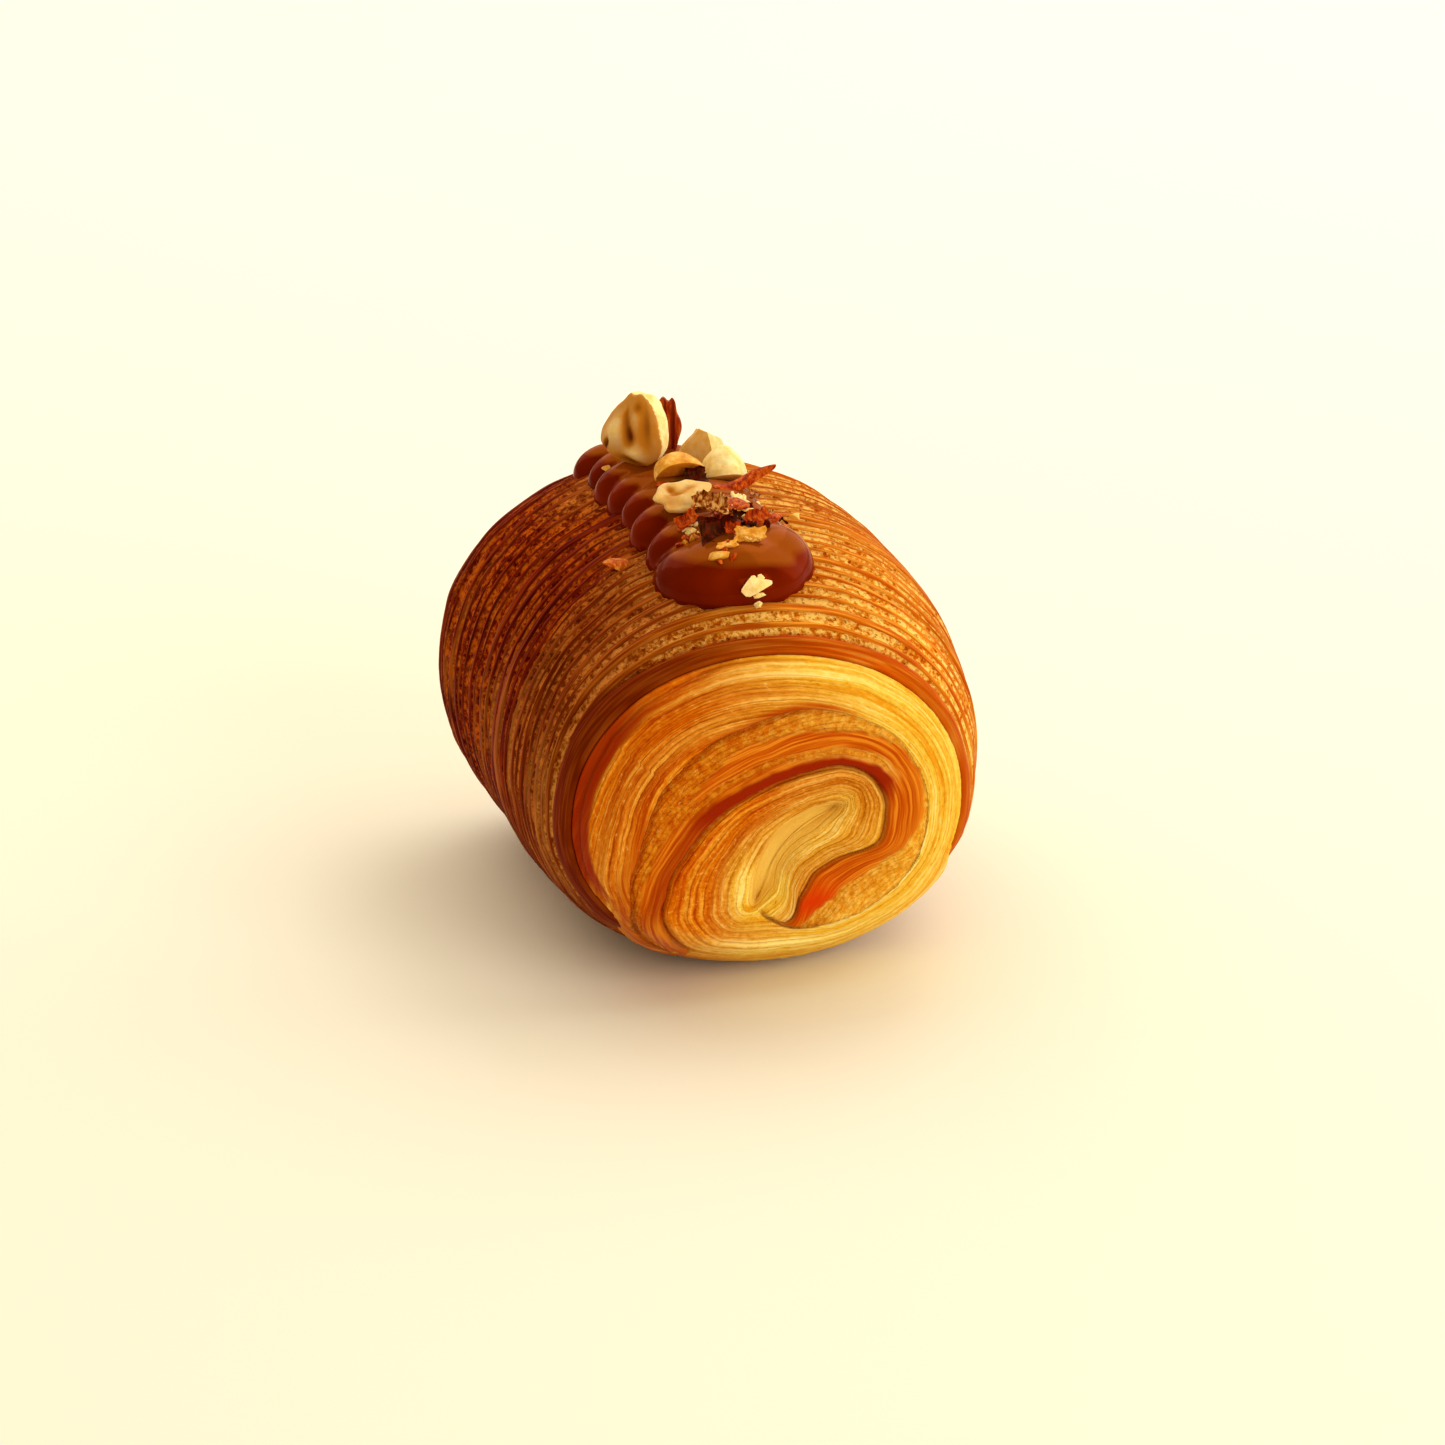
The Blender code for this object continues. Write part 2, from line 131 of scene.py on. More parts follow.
def dress_skin(name, points, poles, masks):
    """An object over a grid of points in the roll's own frame, with one value per point for each mask."""
    rings, columns = points.shape[:2]
    skin, ring, column = ringed_skin(columns, rings)
    mesh = bpy.data.meshes.new(name)
    skin.to_mesh(mesh)
    skin.free()
    points = points - MIDDLE
    points[..., 2] = np.maximum(points[..., 2], 0.0)
    place = points[ring, column]
    place[ring == -1], place[ring == -2] = poles[0] - MIDDLE, poles[1] - MIDDLE
    mesh.vertices.foreach_set("co", (place * MM).astype(np.float32).ravel())
    for mask, values in masks.items():
        kind = "FLOAT_VECTOR" if values.ndim == 3 else "FLOAT"
        values = values[np.where(ring == -2, rings - 1, np.maximum(ring, 0)), column].astype(np.float32)
        stored = mesh.attributes.new(mask, kind, "POINT")
        stored.data.foreach_set("vector" if kind == "FLOAT_VECTOR" else "value", values.ravel())
    mesh.update()
    mesh.shade_smooth()
    piece = bpy.data.objects.new(name, mesh)
    scene.collection.objects.link(piece)
    return piece


def linear(colour):
    """Linear RGBA from an sRGB hex colour."""
    parts = [int(colour[i:i + 2], 16) / 255 for i in (1, 3, 5)]
    return (*[p / 12.92 if p <= 0.04045 else ((p + 0.055) / 1.055) ** 2.4 for p in parts], 1.0)


def fill(made, sockets):
    """Gives sockets of a node their numbers, their sRGB hex colours or their links from other nodes."""
    for socket, value in sockets.items():
        if isinstance(value, bpy.types.NodeSocket):
            made.id_data.links.new(value, made.inputs[socket])
        else:
            made.inputs[socket].default_value = linear(value) if isinstance(value, str) else value


def node(tree, kind, sockets, output=0, stops=(), **settings):
    """Adds a shader node with its settings, colour stops and sockets, and gives one of its outputs."""
    made = tree.nodes.new("ShaderNode" + kind)
    for setting, value in settings.items():
        setattr(made, setting, value)
    for i, (place, colour) in enumerate(stops):
        element = made.color_ramp.elements[i] if i < 2 else made.color_ramp.elements.new(place)
        element.position, element.color = place, linear(colour)
    fill(made, sockets)
    return made.outputs[output]


def new_finish(name):
    """A new material with its node tree and its Principled shader."""
    finish = bpy.data.materials.new(name)
    finish.use_nodes = True
    return finish, finish.node_tree, finish.node_tree.nodes["Principled BSDF"]


# Baked crust, egg washed: a hard satin brown skin on the strips, and dull porous crumb between them.
# Streaks follow the layers, 0.45 mm wide and 12 mm long; crumb is 1.2 mm; pits are 1.2 mm apart.
crust_finish, tree, shader = new_finish("baked croissant crust")
layers = node(tree, "Attribute", {}, "Vector", attribute_name="layers")
place = node(tree, "TexCoord", {}, "Object")
strip, edge, thin, bake = [node(tree, "Attribute", {}, "Fac", attribute_name=mask)
                           for mask in ("strip", "edge", "thin", "bake")]
stretched = node(tree, "Mapping", {"Vector": layers, "Scale": (1 / 12, 1 / 12, 1 / 0.45)})
streaks = node(tree, "TexNoise", {"Vector": stretched, "Scale": 1.0, "Detail": 2.0})
crumb = node(tree, "TexNoise", {"Vector": place, "Scale": 1 / 0.0012, "Detail": 4.0, "Roughness": 0.72})
patches = node(tree, "TexNoise", {"Vector": place, "Scale": 1 / 0.006, "Detail": 1.0})
pits = node(tree, "TexVoronoi", {"Vector": place, "Scale": 1 / 0.0012})
pits = node(tree, "MapRange", {
    "Value": pits, "From Min": 0.12, "From Max": 0.28, "To Min": 1.0, "To Max": 0.0})
porous = node(tree, "Math", {0: 1.0, 1: strip}, operation="SUBTRACT")
pits = node(tree, "Math", {0: pits, 1: porous}, operation="MULTIPLY")
grain = node(tree, "Math", {0: patches, 1: 0.35, 2: crumb}, operation="MULTIPLY_ADD")
mottled = node(tree, "Math", {0: crumb, 1: 0.5}, operation="SUBTRACT")
mottled = node(tree, "Math", {0: mottled, 1: 0.9, 2: strip}, operation="MULTIPLY_ADD")
skin = node(tree, "MapRange", {"Value": mottled, "From Min": 0.42, "From Max": 0.58})
# Painted shade: darker in the pits, along one edge of each strip and in the groove behind the lip; over the
# lip the same mask gives it its own deeper red
shade = node(tree, "Math", {0: pits, 1: 0.4}, operation="MULTIPLY")
shade = node(tree, "Math", {0: edge, 1: 0.5, 2: shade}, operation="MULTIPLY_ADD")
thin = node(tree, "Math", {0: thin, 1: streaks}, operation="MULTIPLY")
# Crumb and skin each run from a pale ramp to a dark one as they bake, and so do the two tints over them, the
# painted shade and the pale lines of painted highlight
baked = []
for across, pale, dark in (
    (grain, ((0.54, "#C46008"), (0.63, "#E89E2C"), (0.73, "#FCDE7C")),
     ((0.53, "#480400"), (0.64, "#802000"), (0.78, "#C66010"))),
    (streaks, ((0.36, "#BE5808"), (0.5, "#D27A14"), (0.66, "#EAAA40")),
     ((0.36, "#420700"), (0.5, "#681700"), (0.64, "#8C3202"))),
):
    pale, dark = [node(tree, "ValToRGB", {"Fac": across}, stops=stops) for stops in (pale, dark)]
    baked.append(node(tree, "Mix", {"Factor": bake, 6: pale, 7: dark}, 2, data_type="RGBA"))
for pale, dark in (("#B84000", "#4A0800"), ("#F6D27A", "#C27426")):
    baked.append(node(tree, "Mix", {"Factor": bake, 6: pale, 7: dark}, 2, data_type="RGBA"))
colour = baked[0]
for amount, over in zip((skin, shade, thin), baked[1:]):
    colour = node(tree, "Mix", {"Factor": amount, 6: colour, 7: over}, 2, data_type="RGBA")
rough = node(tree, "MapRange", {"Value": skin, "To Min": 0.55, "To Max": 0.36})
relief = node(tree, "Math", {0: crumb, 1: porous}, operation="MULTIPLY")
for height, part in ((pits, -0.7), (streaks, 0.35)):
    relief = node(tree, "Math", {0: height, 1: part, 2: relief}, operation="MULTIPLY_ADD")
bump = node(tree, "Bump", {"Height": relief, "Strength": 1.0, "Distance": 0.0006})
fill(shader, {"Base Color": colour, "Roughness": rough, "Normal": bump, "IOR": 1.45, "Metallic": 0.3,
              "Specular IOR Level": 0.02, "Specular Tint": "#FFA23C"})

CRUST_COLUMNS, CRUST_RINGS, TUCK_RINGS = 320, 292, 6
MEAN_RADIUS = 38.0
random.seed(7)
widths = [random.uniform(0.65, 1.4) for _ in range(RIDGES)]
unit = (BACK_RING - FRONT_RING) / sum(widths)
ridge_start, ridge_tall = [FRONT_RING], []
for width in widths:
    ridge_tall.append(RIDGE_HEIGHT * random.uniform(0.6, 1.2))
    ridge_start.append(ridge_start[-1] + width * unit)
ridge_start, ridge_tall = np.array(ridge_start), np.array(ridge_tall)
strip_share = np.array([random.uniform(-0.65, 0.35) for _ in range(RIDGES)])


def under_front(around):
    """1 where the front end runs on under the roll and hides the crust's ring, 0 elsewhere."""
    turn = np.degrees(around) % 360
    return step(turn, 222, 238) * step(-turn, -346, -330)


around = np.arange(CRUST_COLUMNS) * 2 * math.pi / CRUST_COLUMNS
even = np.linspace(0, 1, CRUST_RINGS)
line_y = FRONT_RING + (BACK_RING - FRONT_RING) * (0.86 * even + 0.14 * even ** 2)
around, line_y = np.meshgrid(around, line_y)
hidden = under_front(around) * step(FRONT_RING - line_y, -12, -8)
inside = np.clip(np.minimum(line_y - FRONT_RING, BACK_RING - line_y) / 12, 0, 1)
wander = RIDGE_WANDER * inside * np.sin(2 * around + 0.07 * line_y)
girth = np.stack([MEAN_RADIUS * np.cos(around), MEAN_RADIUS * np.sin(around), line_y], -1)
wander += inside * 0.6 * rumple(girth, (22, 22, 9), 1) + inside * 0.25 * rumple(girth, (8, 8, 5), 8)
layer_y = line_y - wander
ridge = np.clip(np.searchsorted(ridge_start, layer_y, side="right") - 1, 0, RIDGES - 1)
phase = (layer_y - ridge_start[ridge]) / (ridge_start[ridge + 1] - ridge_start[ridge])
wave = np.cos(2 * math.pi * (phase - 0.62))
tall = ridge_tall[ridge] * (0.75 + 0.25 * np.sin(3 * around + 1.7 * layer_y))
points = section(line_y / HALF_LENGTH, around)
normals = outward(points)
layer_place = np.stack([girth[..., 0], girth[..., 1], layer_y], -1)
turn = np.degrees(around) % 360
shade = step(np.abs((turn - 20 + 180) % 360 - 180), 30, 120)
fine = rumple(layer_place, (40, 40, 0.8), 2)
edge_of = wave - 0.15 + strip_share[ridge] * step(line_y, -42, -20) + 0.2 * (shade - 0.75)
edge_of += 0.45 * rumple(layer_place, (14, 14, 1.5), 3) + 0.35 * shade * rumple(layer_place, (11, 11, 5), 10)
strip = step(edge_of, -0.12, 0.12)
lip_width = 2.5 + 2.0 * step(np.abs((turn - 190 + 180) % 360 - 180), 80, 20)
lip = step(lip_width + FRONT_RING - line_y, -0.3, 0.3)
strip = np.maximum(strip, lip)
# The edge mask is painted shade: a dark line along one edge of each strip and in the groove behind the lip;
# over the lip itself it gives the lip's own deeper red.
edge = bell(edge_of - 0.1, 0.22) * (1 - lip)
groove = bell(lip_width + 0.3 + FRONT_RING - line_y, 0.35)
edge = np.maximum(edge, np.maximum(1.6 * groove, 1.1 * lip))
crumbly = rumple(points, 0.9, 4) + 0.6 * rumple(points, 0.5, 5)
# The thin mask is painted highlight: pale lines along the strips' back edges, and on the left flank along
# fine ridges of the layers; it also raises them a little.
thin = bell(edge_of - 0.25, 0.16) * (phase > 0.62)
thin += 0.6 * bell(edge_of + 0.5, 0.14) * (phase < 0.4)
thin = thin * step(rumple(layer_place, (11, 11, 1.2), 9), -0.1, 0.35) * (1 - lip)
flank = step(turn, 145, 172) * step(-turn, -250, -230)
flank = flank * step(rumple(layer_place, (18, 18, 0.6), 21), 0.3, 0.6)
thin = np.maximum(thin, 0.8 * flank * (1 - lip))
relief = tall * (0.2 * wave + 0.12 * np.tanh(2.5 * edge_of)) + 0.12 * thin
lip_arch = np.sin(math.pi * np.clip((line_y - FRONT_RING) / lip_width, 0, 1))
relief = relief * (1 - lip) + lip * (0.35 + 0.3 * lip_arch) - 0.35 * groove
relief += 0.1 * fine + (1 - strip) * (0.16 * crumbly - 0.1) + 0.25 * rumple(points, 7, 6)
relief = relief * (1 - hidden) - 0.6 * hidden
points = points + normals * relief[..., None]

# The ring's lip turns in under itself at both ends, where the cut spiral is seated.
rim = {ring: section(np.full(CRUST_COLUMNS, ring / HALF_LENGTH), around[0])
       for ring in (FRONT_RING, BACK_RING)}
CORE_REACH, CORE_GAP, CORE_BEND = 10.6, 0.9, 3.9
CORE_LEAN, CORE_PLACE = math.radians(48.8), (2.0, 27.3)
tucks = {}
for ring, end in ((FRONT_RING, -1.0), (BACK_RING, 1.0)):
    middle = np.array([CORE_PLACE[0], ring, CORE_PLACE[1]])
    low = under_front(around[0])[:, None] if end < 0 else 0.0
    rows = [(0.8, 3.0), (0.93, 2.6), (0.955, 1.8), (0.97, 0.7), (0.982, -0.15), (0.993, -0.5)]
    tucks[ring] = np.array([middle + (rim[ring] - middle) * level - np.array([0, end, 0]) * (deep + 1.2 * low)
                            for level, deep in rows])
points = np.concatenate([tucks[FRONT_RING], points, tucks[BACK_RING][::-1]])
pad = [(TUCK_RINGS, TUCK_RINGS), (0, 0)]
bake = 0.02 + 0.78 * shade + 0.24 * step(line_y, -40, -5) + 0.16 * rumple(layer_place, (20, 20, 8), 7)
bake = np.clip(np.maximum(bake, lip * (0.15 + 0.72 * shade)), 0, 1)
poles = np.array([[CORE_PLACE[0], y, CORE_PLACE[1]] for y in (FRONT_RING + 3.0, BACK_RING - 3.0)])
masks = {mask: np.pad(values, pad, mode="edge") for mask, values in
         (("strip", strip), ("edge", edge), ("thin", thin), ("bake", bake))}
masks["layers"] = np.pad(layer_place, [*pad, (0, 0)], mode="edge")
crust = dress_skin("crust", points, poles, masks)
crust.data.materials.append(crust_finish)
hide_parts("pastry")
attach(crust, "root")

# ---------- the spiral ends
# The cut ends of the roll, where the rolled up sheet shows on edge: fine pale layers, with two
# smooth tongues of the sheet's own skin that wind in to the slit at the middle.

# Angle round the slit in degrees, 0 to +X and 90 up, and the share of the way from slit to rim
OUTER_LINE = (
    (-108, 0.08), (-93, 0.32), (-77, 0.63), (-52, 0.73), (-30, 0.75), (0, 0.71), (27, 0.66), (60, 0.68),
    (88, 0.7), (110, 0.65), (140, 0.63), (172, 0.635), (190, 0.68), (213, 0.8), (252, 1.2),
)
INNER_LINE = (
    (-108, 0.08), (-93, 0.32), (-79, 0.55), (-68, 0.335), (-49, 0.25), (-30, 0.3), (-15, 0.46), (8, 0.41),
    (30, 0.355), (68, 0.335), (84, 0.31), (105, 0.275), (129, 0.29), (175, 0.4), (209, 0.57), (235, 0.81),
    (252, 1.0),
)
SMOOTH_EDGE = (
    (-108, 0.08), (-93, 0.32), (-78, 0.61), (-60, 0.48), (-45, 0.47), (-25, 0.54), (0, 0.68), (43, 0.65),
    (72, 0.57), (115, 0.545), (144, 0.5), (158, 0.485), (186, 0.58), (212, 0.75), (252, 1.1),
)
CRUMB_LINE = ((25, 0.5), (60, 0.45), (94, 0.4), (126, 0.405), (157, 0.465), (169, 0.525))
DARK_EDGE = (
    (10, 0.44), (26, 0.48), (50, 0.43), (84, 0.385), (106, 0.35), (129, 0.365), (162, 0.445), (199, 0.6),
)
LAYERS_INSIDE, FACE_ROUNDING, PLUG_RINGS = 12, 6.5, 4


def follow(line, turn):
    """The share along one of the lines above, with its corners rounded, at angles in degrees."""
    angles = np.arange(-120.0, 265.0)
    share = np.interp(angles, [angle for angle, _ in line], [share for _, share in line])
    weights = bell(np.arange(-10, 11), 4.5)
    share = np.convolve(np.pad(share, 10, mode="edge"), weights / weights.sum(), mode="valid")
    return np.interp(turn, angles, share)


def spiral_end(name, ring, columns, rings):
    """The cut end at one ring of the roll, a shallow plug that is seated inside the ring's lip."""
    end = math.copysign(1.0, ring)
    around = (np.arange(columns) * 2 * math.pi / columns)[None, :]
    low = under_front(around) if end < 0 else 0.0 * around
    limit = 0.985 + 0.32 * low
    share = np.linspace(0, 1, rings - PLUG_RINGS)[:, None] * limit
    share, around, low, limit = np.broadcast_arrays(share, around, low, limit)
    rim = section(np.full(columns, ring / HALF_LENGTH), around[0])
    swing = around - CORE_LEAN
    long_way = CORE_REACH * np.cos(swing)
    short_way = CORE_GAP * np.sin(swing) + CORE_BEND * np.sin(swing) ** 2
    core_x = CORE_PLACE[0] + long_way * math.cos(CORE_LEAN) - short_way * math.sin(CORE_LEAN)
    core_z = CORE_PLACE[1] + long_way * math.sin(CORE_LEAN) + short_way * math.cos(CORE_LEAN)
    p = FRONT_TAPER[0] if end < 0 else BACK_TAPER[0]
    left = (1 - abs(ring / HALF_LENGTH) ** p) * np.minimum(share, 1) ** FACE_ROUNDING
    y = end * HALF_LENGTH * (1 - left) ** (1 / p)
    reach_x, reach_z = rim[:, 0] - core_x, rim[:, 2] - core_z
    reach = np.hypot(reach_x, reach_z)
    points = np.stack([core_x + reach_x * share, y, core_z + reach_z * share], -1)
    beyond = section((ring - end * 32 * np.maximum(share - 1, 0)) / HALF_LENGTH, around)
    points = np.where((share > 1)[..., None], beyond, points)

    # Where each point lies among the turns, with the lines made a little uneven
    turn = (np.degrees(around) + 108) % 360 - 108
    soft = np.stack([30 * np.cos(around), 30 * np.sin(around), share * 30 + end], -1)
    shift = 0.008 * rumple(soft, (9, 9, 9), 11) + 0.004 * rumple(soft, (3, 3, 3), 12)
    level = share + shift * step(share, 0.03, 0.12)
    outer, inner, smooth_edge, crumb_line, dark_edge = [
        follow(line, turn) for line in (OUTER_LINE, INNER_LINE, SMOOTH_EDGE, CRUMB_LINE, DARK_EDGE)]
    swept = step(-turn, 60, 108)
    edge = np.where(turn > 150, outer + 0.34, 0.98)
    pitch = 1 + (0.98 * reach / LAYERS_INSIDE - 1) * swept
    depth_inside = LAYERS_INSIDE * level / (inner + (0.98 - inner) * swept)
    depth_outside = LAYERS_INSIDE - (edge - level) * reach / pitch
    depth_between = LAYERS_INSIDE + (level - inner) * reach
    between = (level > inner) & (level < outer)
    depth = np.where(between, depth_between, np.where(level <= inner, depth_inside, depth_outside))
    layer_place = np.stack([14 * np.cos(around), 14 * np.sin(around), depth], -1)

    # Smooth skin between the inner line and the smooth edge, with a row of crumb along it, crumb outside it
    ragged = 0.35 * rumple(points, 1.6, 19) + 0.25 * rumple(points, 0.8, 20)
    near_inner, near_outer = (level - inner) * reach, (outer - level) * reach
    gap = step(outer - inner, 0.02, 0.08)
    skin = step(near_inner, 0.0, 0.5) * step((smooth_edge - level) * reach + 1.2 * ragged, -0.4, 0.4) * gap
    crumb_row = np.exp(-((level - crumb_line) * reach / 0.9 + 0.5 * ragged) ** 4) * step(turn, 22, 50)
    crumb_row = crumb_row * step(-turn, -178, -160)
    skin = skin * (1 - crumb_row)
    dark = step((dark_edge - level) * reach + 0.5 * ragged, -0.3, 0.5) * step(near_inner, -0.2, 0.6)
    dark = dark * step(turn, 8, 34) * step(-turn, -190, -150)
    left_fold = bell(near_inner - 1.6, 1.3) * step(turn, 140, 165) * step(-turn, -232, -215)
    dark = np.maximum(dark, 0.7 * left_fold)
    crest = bell(near_outer + 0.5, 0.6) * step(turn, 60, 84) * step(-turn, -128, -104)
    crest = np.maximum(crest, 0.8 * bell(near_outer + 1.0, 1.1) * step(turn, 158, 176))
    skin = np.maximum(skin, crest)
    rim_band = step((level - 0.985) * reach, -3.0, -2.4) * step(turn, 118, 150) * step(-turn, -222, -200)
    skin = np.maximum(skin, rim_band)
    crumb = np.clip(between * (1 - skin), 0, 1)
    arm = bell(turn + 62, 15) * bell(level - 0.42, 0.13) * skin * between
    # The crevice and seam are grooves along the inner and outer lines; further on they also darken the
    # colour, as painted shade.
    crevice = bell(near_inner, 0.45) * gap
    seam = bell(near_outer - 0.3, 0.45)
    seam = seam * np.maximum(gap, step(turn, -97, -92) * step(-turn, 72, 77))
    seam = seam * (1 - 0.75 * step(-turn, -100, -50) * step(turn, -72, -60))

    # Relief: the slit, the crevices along both lines, the swell of the tongues, and the layers
    relief = np.interp(share * reach, (0, 0.8, 1.6, 2.6, 5, 50), (-3.0, -2.3, -1.1, -0.3, 0.1, 0.1))
    relief = relief + between * gap * 0.3 * skin - 0.7 * crevice - 0.6 * seam
    relief += 0.35 * crest + 0.35 * dark * (near_inner > 0) - 0.3 * crumb_row
    relief -= 0.7 * bell((level - 0.965) * reach, 0.6) * (1 - low)
    relief -= 0.9 * low * step(share, 0.9 * limit, limit)
    relief += 0.35 * low * step(share, 0.9, 1.0)
    layered = rumple(layer_place, (24, 24, 0.9), 13) + 0.6 * rumple(layer_place, (8, 8, 0.45), 14)
    rough = rumple(points, 0.8, 15) + 0.6 * rumple(points, 0.45, 16)
    cut = (1 - skin) * step(share * reach, 1.8, 3.2)
    relief += cut * (1 - 0.6 * crumb) * 0.2 * layered + 0.04 * skin * layered
    relief += crumb * 0.16 * rough + 0.07 * rough * cut + 0.22 * rumple(points, 8, 17)
    normals = outward(points) if end < 0 else outward(points[::-1])[::-1]
    normals = normals * (1 if end * normals[rings // 2, 0, 1] > 0 else -1)
    normals[np.abs(normals[..., 1]) > 0.95] = (0, end, 0)
    points = points + normals * relief[..., None]

    # The plug's hidden side
    middle = np.array([CORE_PLACE[0], ring, CORE_PLACE[1]])
    hidden = [middle + (rim - middle) * share_in - np.array([0, deep * end, 0])
              for share_in, deep in ((0.975, 1.4), (0.96, 2.4), (0.9, 3.6), (0.5, 4.0))]

    # How brown each point is baked: most on the left and at the top, least along the slit and the right rim
    x, z = points[..., 0], points[..., 2]
    bake = 0.95 * step(-x, -26, 32) + 0.34 * step(share, 0.1, 0.3) * step(-share, -0.72, -0.6)
    bake += 0.15 * rumple(layer_place, (12, 12, 3), 18) + 0.4 * step(z, 48, 68) * step(-x, -26, 0)
    bake += 0.35 * step(z, 28, 42) * step(inner - level, 0, 0.06) + 0.5 * step(-z, -9, -1) * step(-x, -16, 0)
    bake -= 0.9 * step(-share * reach, -9, -2) * np.maximum(step(turn, 150, 200), step(-turn, 55, 80))
    bake -= 0.4 * step(share, 0.8, 0.95) * (1 - step(-x, -5, 30))
    bake -= 0.45 * step(-z, -24, -8) * step(x, -24, -4)
    bake -= 0.5 * step(x, 6, 26) * step(-z, -34, -14) + 0.3 * step(x, 20, 36) * step(share, 0.8, 0.92)
    pocket = step(-share * reach - ragged, -2.5, -1.5)
    # Painted shade: the crevice along the inner line and the seam along the outer one darken the dark mask,
    # besides the dark band, the fold, the crest and the rim band
    dark = dark + 0.6 * crevice + 0.4 * seam + 0.35 * crest + 0.9 * rim_band
    masks = {"layers": layer_place, "skin": skin, "crumb": crumb, "dark": np.clip(dark, 0, 1),
             "arm": arm, "pocket": 0.75 * pocket, "bake": np.clip(bake, 0, 1)}
    points = np.concatenate([points, hidden])
    masks = {mask: np.pad(values, [(0, PLUG_RINGS)] + [(0, 0)] * (values.ndim - 1), mode="edge")
             for mask, values in masks.items()}
    poles = np.array([[CORE_PLACE[0], end * (HALF_LENGTH - 3.2), CORE_PLACE[1]],
                      [CORE_PLACE[0], ring - end * 4.0, CORE_PLACE[1]]])
    if end > 0:
        points, poles = points[::-1], poles[::-1]
        masks = {mask: values[::-1] for mask, values in masks.items()}
    return dress_skin(name, points, poles, masks)


# Cut laminated dough, baked: dry matt layers on edge, pale where butter kept them apart, and satin
# orange skin on the tongues. The layers are 1 mm apart, with 0.45 mm streaks and 1.3 mm crumb along them.
spiral_finish, tree, shader = new_finish("cut laminated dough")
layers = node(tree, "Attribute", {}, "Vector", attribute_name="layers")
place = node(tree, "TexCoord", {}, "Object")
skin, crumb_mask, dark, arm, pocket, bake = [node(tree, "Attribute", {}, "Fac", attribute_name=mask)
                                             for mask in ("skin", "crumb", "dark", "arm", "pocket", "bake")]
bands, streaks, grain = [
    node(tree, "TexNoise", {
        "Vector": node(tree, "Mapping", {"Vector": layers, "Scale": (1 / long, 1 / long, 1 / thick)}),
        "Scale": 1.0, "Detail": detail, "Roughness": roughness})
    for long, thick, detail, roughness in ((24, 1.6, 1.0, 0.5), (8, 0.45, 2.0, 0.5), (0.8, 0.5, 3.0, 0.7))]
crumb = node(tree, "TexNoise", {"Vector": place, "Scale": 1 / 0.0013, "Detail": 4.0, "Roughness": 0.72})
tone = node(tree, "Math", {0: bands, 1: 0.4}, operation="MULTIPLY")
for pattern, part in ((streaks, 0.35), (grain, 0.25)):
    tone = node(tree, "Math", {0: pattern, 1: part, 2: tone}, operation="MULTIPLY_ADD")
depth = node(tree, "SeparateXYZ", {"Vector": layers}, "Z")
depth = node(tree, "Math", {0: bands, 1: 1.2, 2: depth}, operation="MULTIPLY_ADD")
# Painted shade in the thin gaps between the layers, 1 mm apart
painted_gap_shade = node(tree, "Math", {0: depth, 1: 0.5}, operation="PINGPONG")
painted_gap_shade = node(tree, "MapRange", {"Value": painted_gap_shade, "From Max": 0.18, "To Min": 0.38, "To Max": 0.0})
specks = node(tree, "MapRange", {"Value": grain, "From Min": 0.64, "From Max": 0.74, "To Max": 0.5})
holes = node(tree, "MapRange", {"Value": grain, "From Min": 0.36, "From Max": 0.26, "To Max": 0.5})
# Layers and crumb each run from a pale ramp to a deep one as they bake, and the skin from gold to orange
baked = []
for across, pale, deep in (
    (tone, ((0.38, "#DC9612"), (0.46, "#E8BA38"), (0.53, "#F2D260"), (0.6, "#FCEA96")),
     ((0.38, "#9E3000"), (0.46, "#C05600"), (0.53, "#D47606"), (0.6, "#E8A234"))),
    (crumb, ((0.34, "#DE8E16"), (0.5, "#EAAC32"), (0.64, "#F8CE60")),
     ((0.34, "#B64C00"), (0.5, "#CA6E06"), (0.66, "#DC9424"))),
):
    pale, deep = [node(tree, "ValToRGB", {"Fac": across}, stops=stops) for stops in (pale, deep)]
    baked.append(node(tree, "Mix", {"Factor": bake, 6: pale, 7: deep}, 2, data_type="RGBA"))
colour, crumb_colour = baked
gap_shade_tint = node(tree, "Mix", {"Factor": bake, 6: "#D88A14", 7: "#983600"}, 2, data_type="RGBA")
orange = node(tree, "ValToRGB", {"Fac": streaks},
              stops=((0.36, "#AE4200"), (0.5, "#C25C04"), (0.64, "#D8821C")))
gold = node(tree, "Mix", {"Factor": 0.6, 6: orange, 7: "#EE9A22"}, 2, data_type="RGBA")
skin_bake = node(tree, "MapRange", {"Value": bake, "From Min": 0.05, "From Max": 0.3})
skin_colour = node(tree, "Mix", {"Factor": skin_bake, 6: gold, 7: orange}, 2, data_type="RGBA")
# The gap tint and, in part, the dark mask are painted shade
for amount, over in (
    (crumb_mask, crumb_colour), (painted_gap_shade, gap_shade_tint), (specks, "#FFE08C"), (holes, "#A03A00"),
    (skin, skin_colour), (arm, "#CE3600"), (pocket, "#EFCB62"), (dark, "#8E1E00"),
):
    colour = node(tree, "Mix", {"Factor": amount, 6: colour, 7: over}, 2, data_type="RGBA")
rough = node(tree, "MapRange", {"Value": skin, "To Min": 0.55, "To Max": 0.36})
matt = node(tree, "MapRange", {"Value": skin, "To Min": 1.0, "To Max": 0.2})
relief = node(tree, "Math", {0: crumb, 1: crumb_mask, 2: tone}, operation="MULTIPLY_ADD")
relief = node(tree, "Math", {0: painted_gap_shade, 1: -0.55, 2: relief}, operation="MULTIPLY_ADD")
relief = node(tree, "Math", {0: relief, 1: matt}, operation="MULTIPLY")
bump = node(tree, "Bump", {"Height": relief, "Strength": 0.9, "Distance": 0.0006})
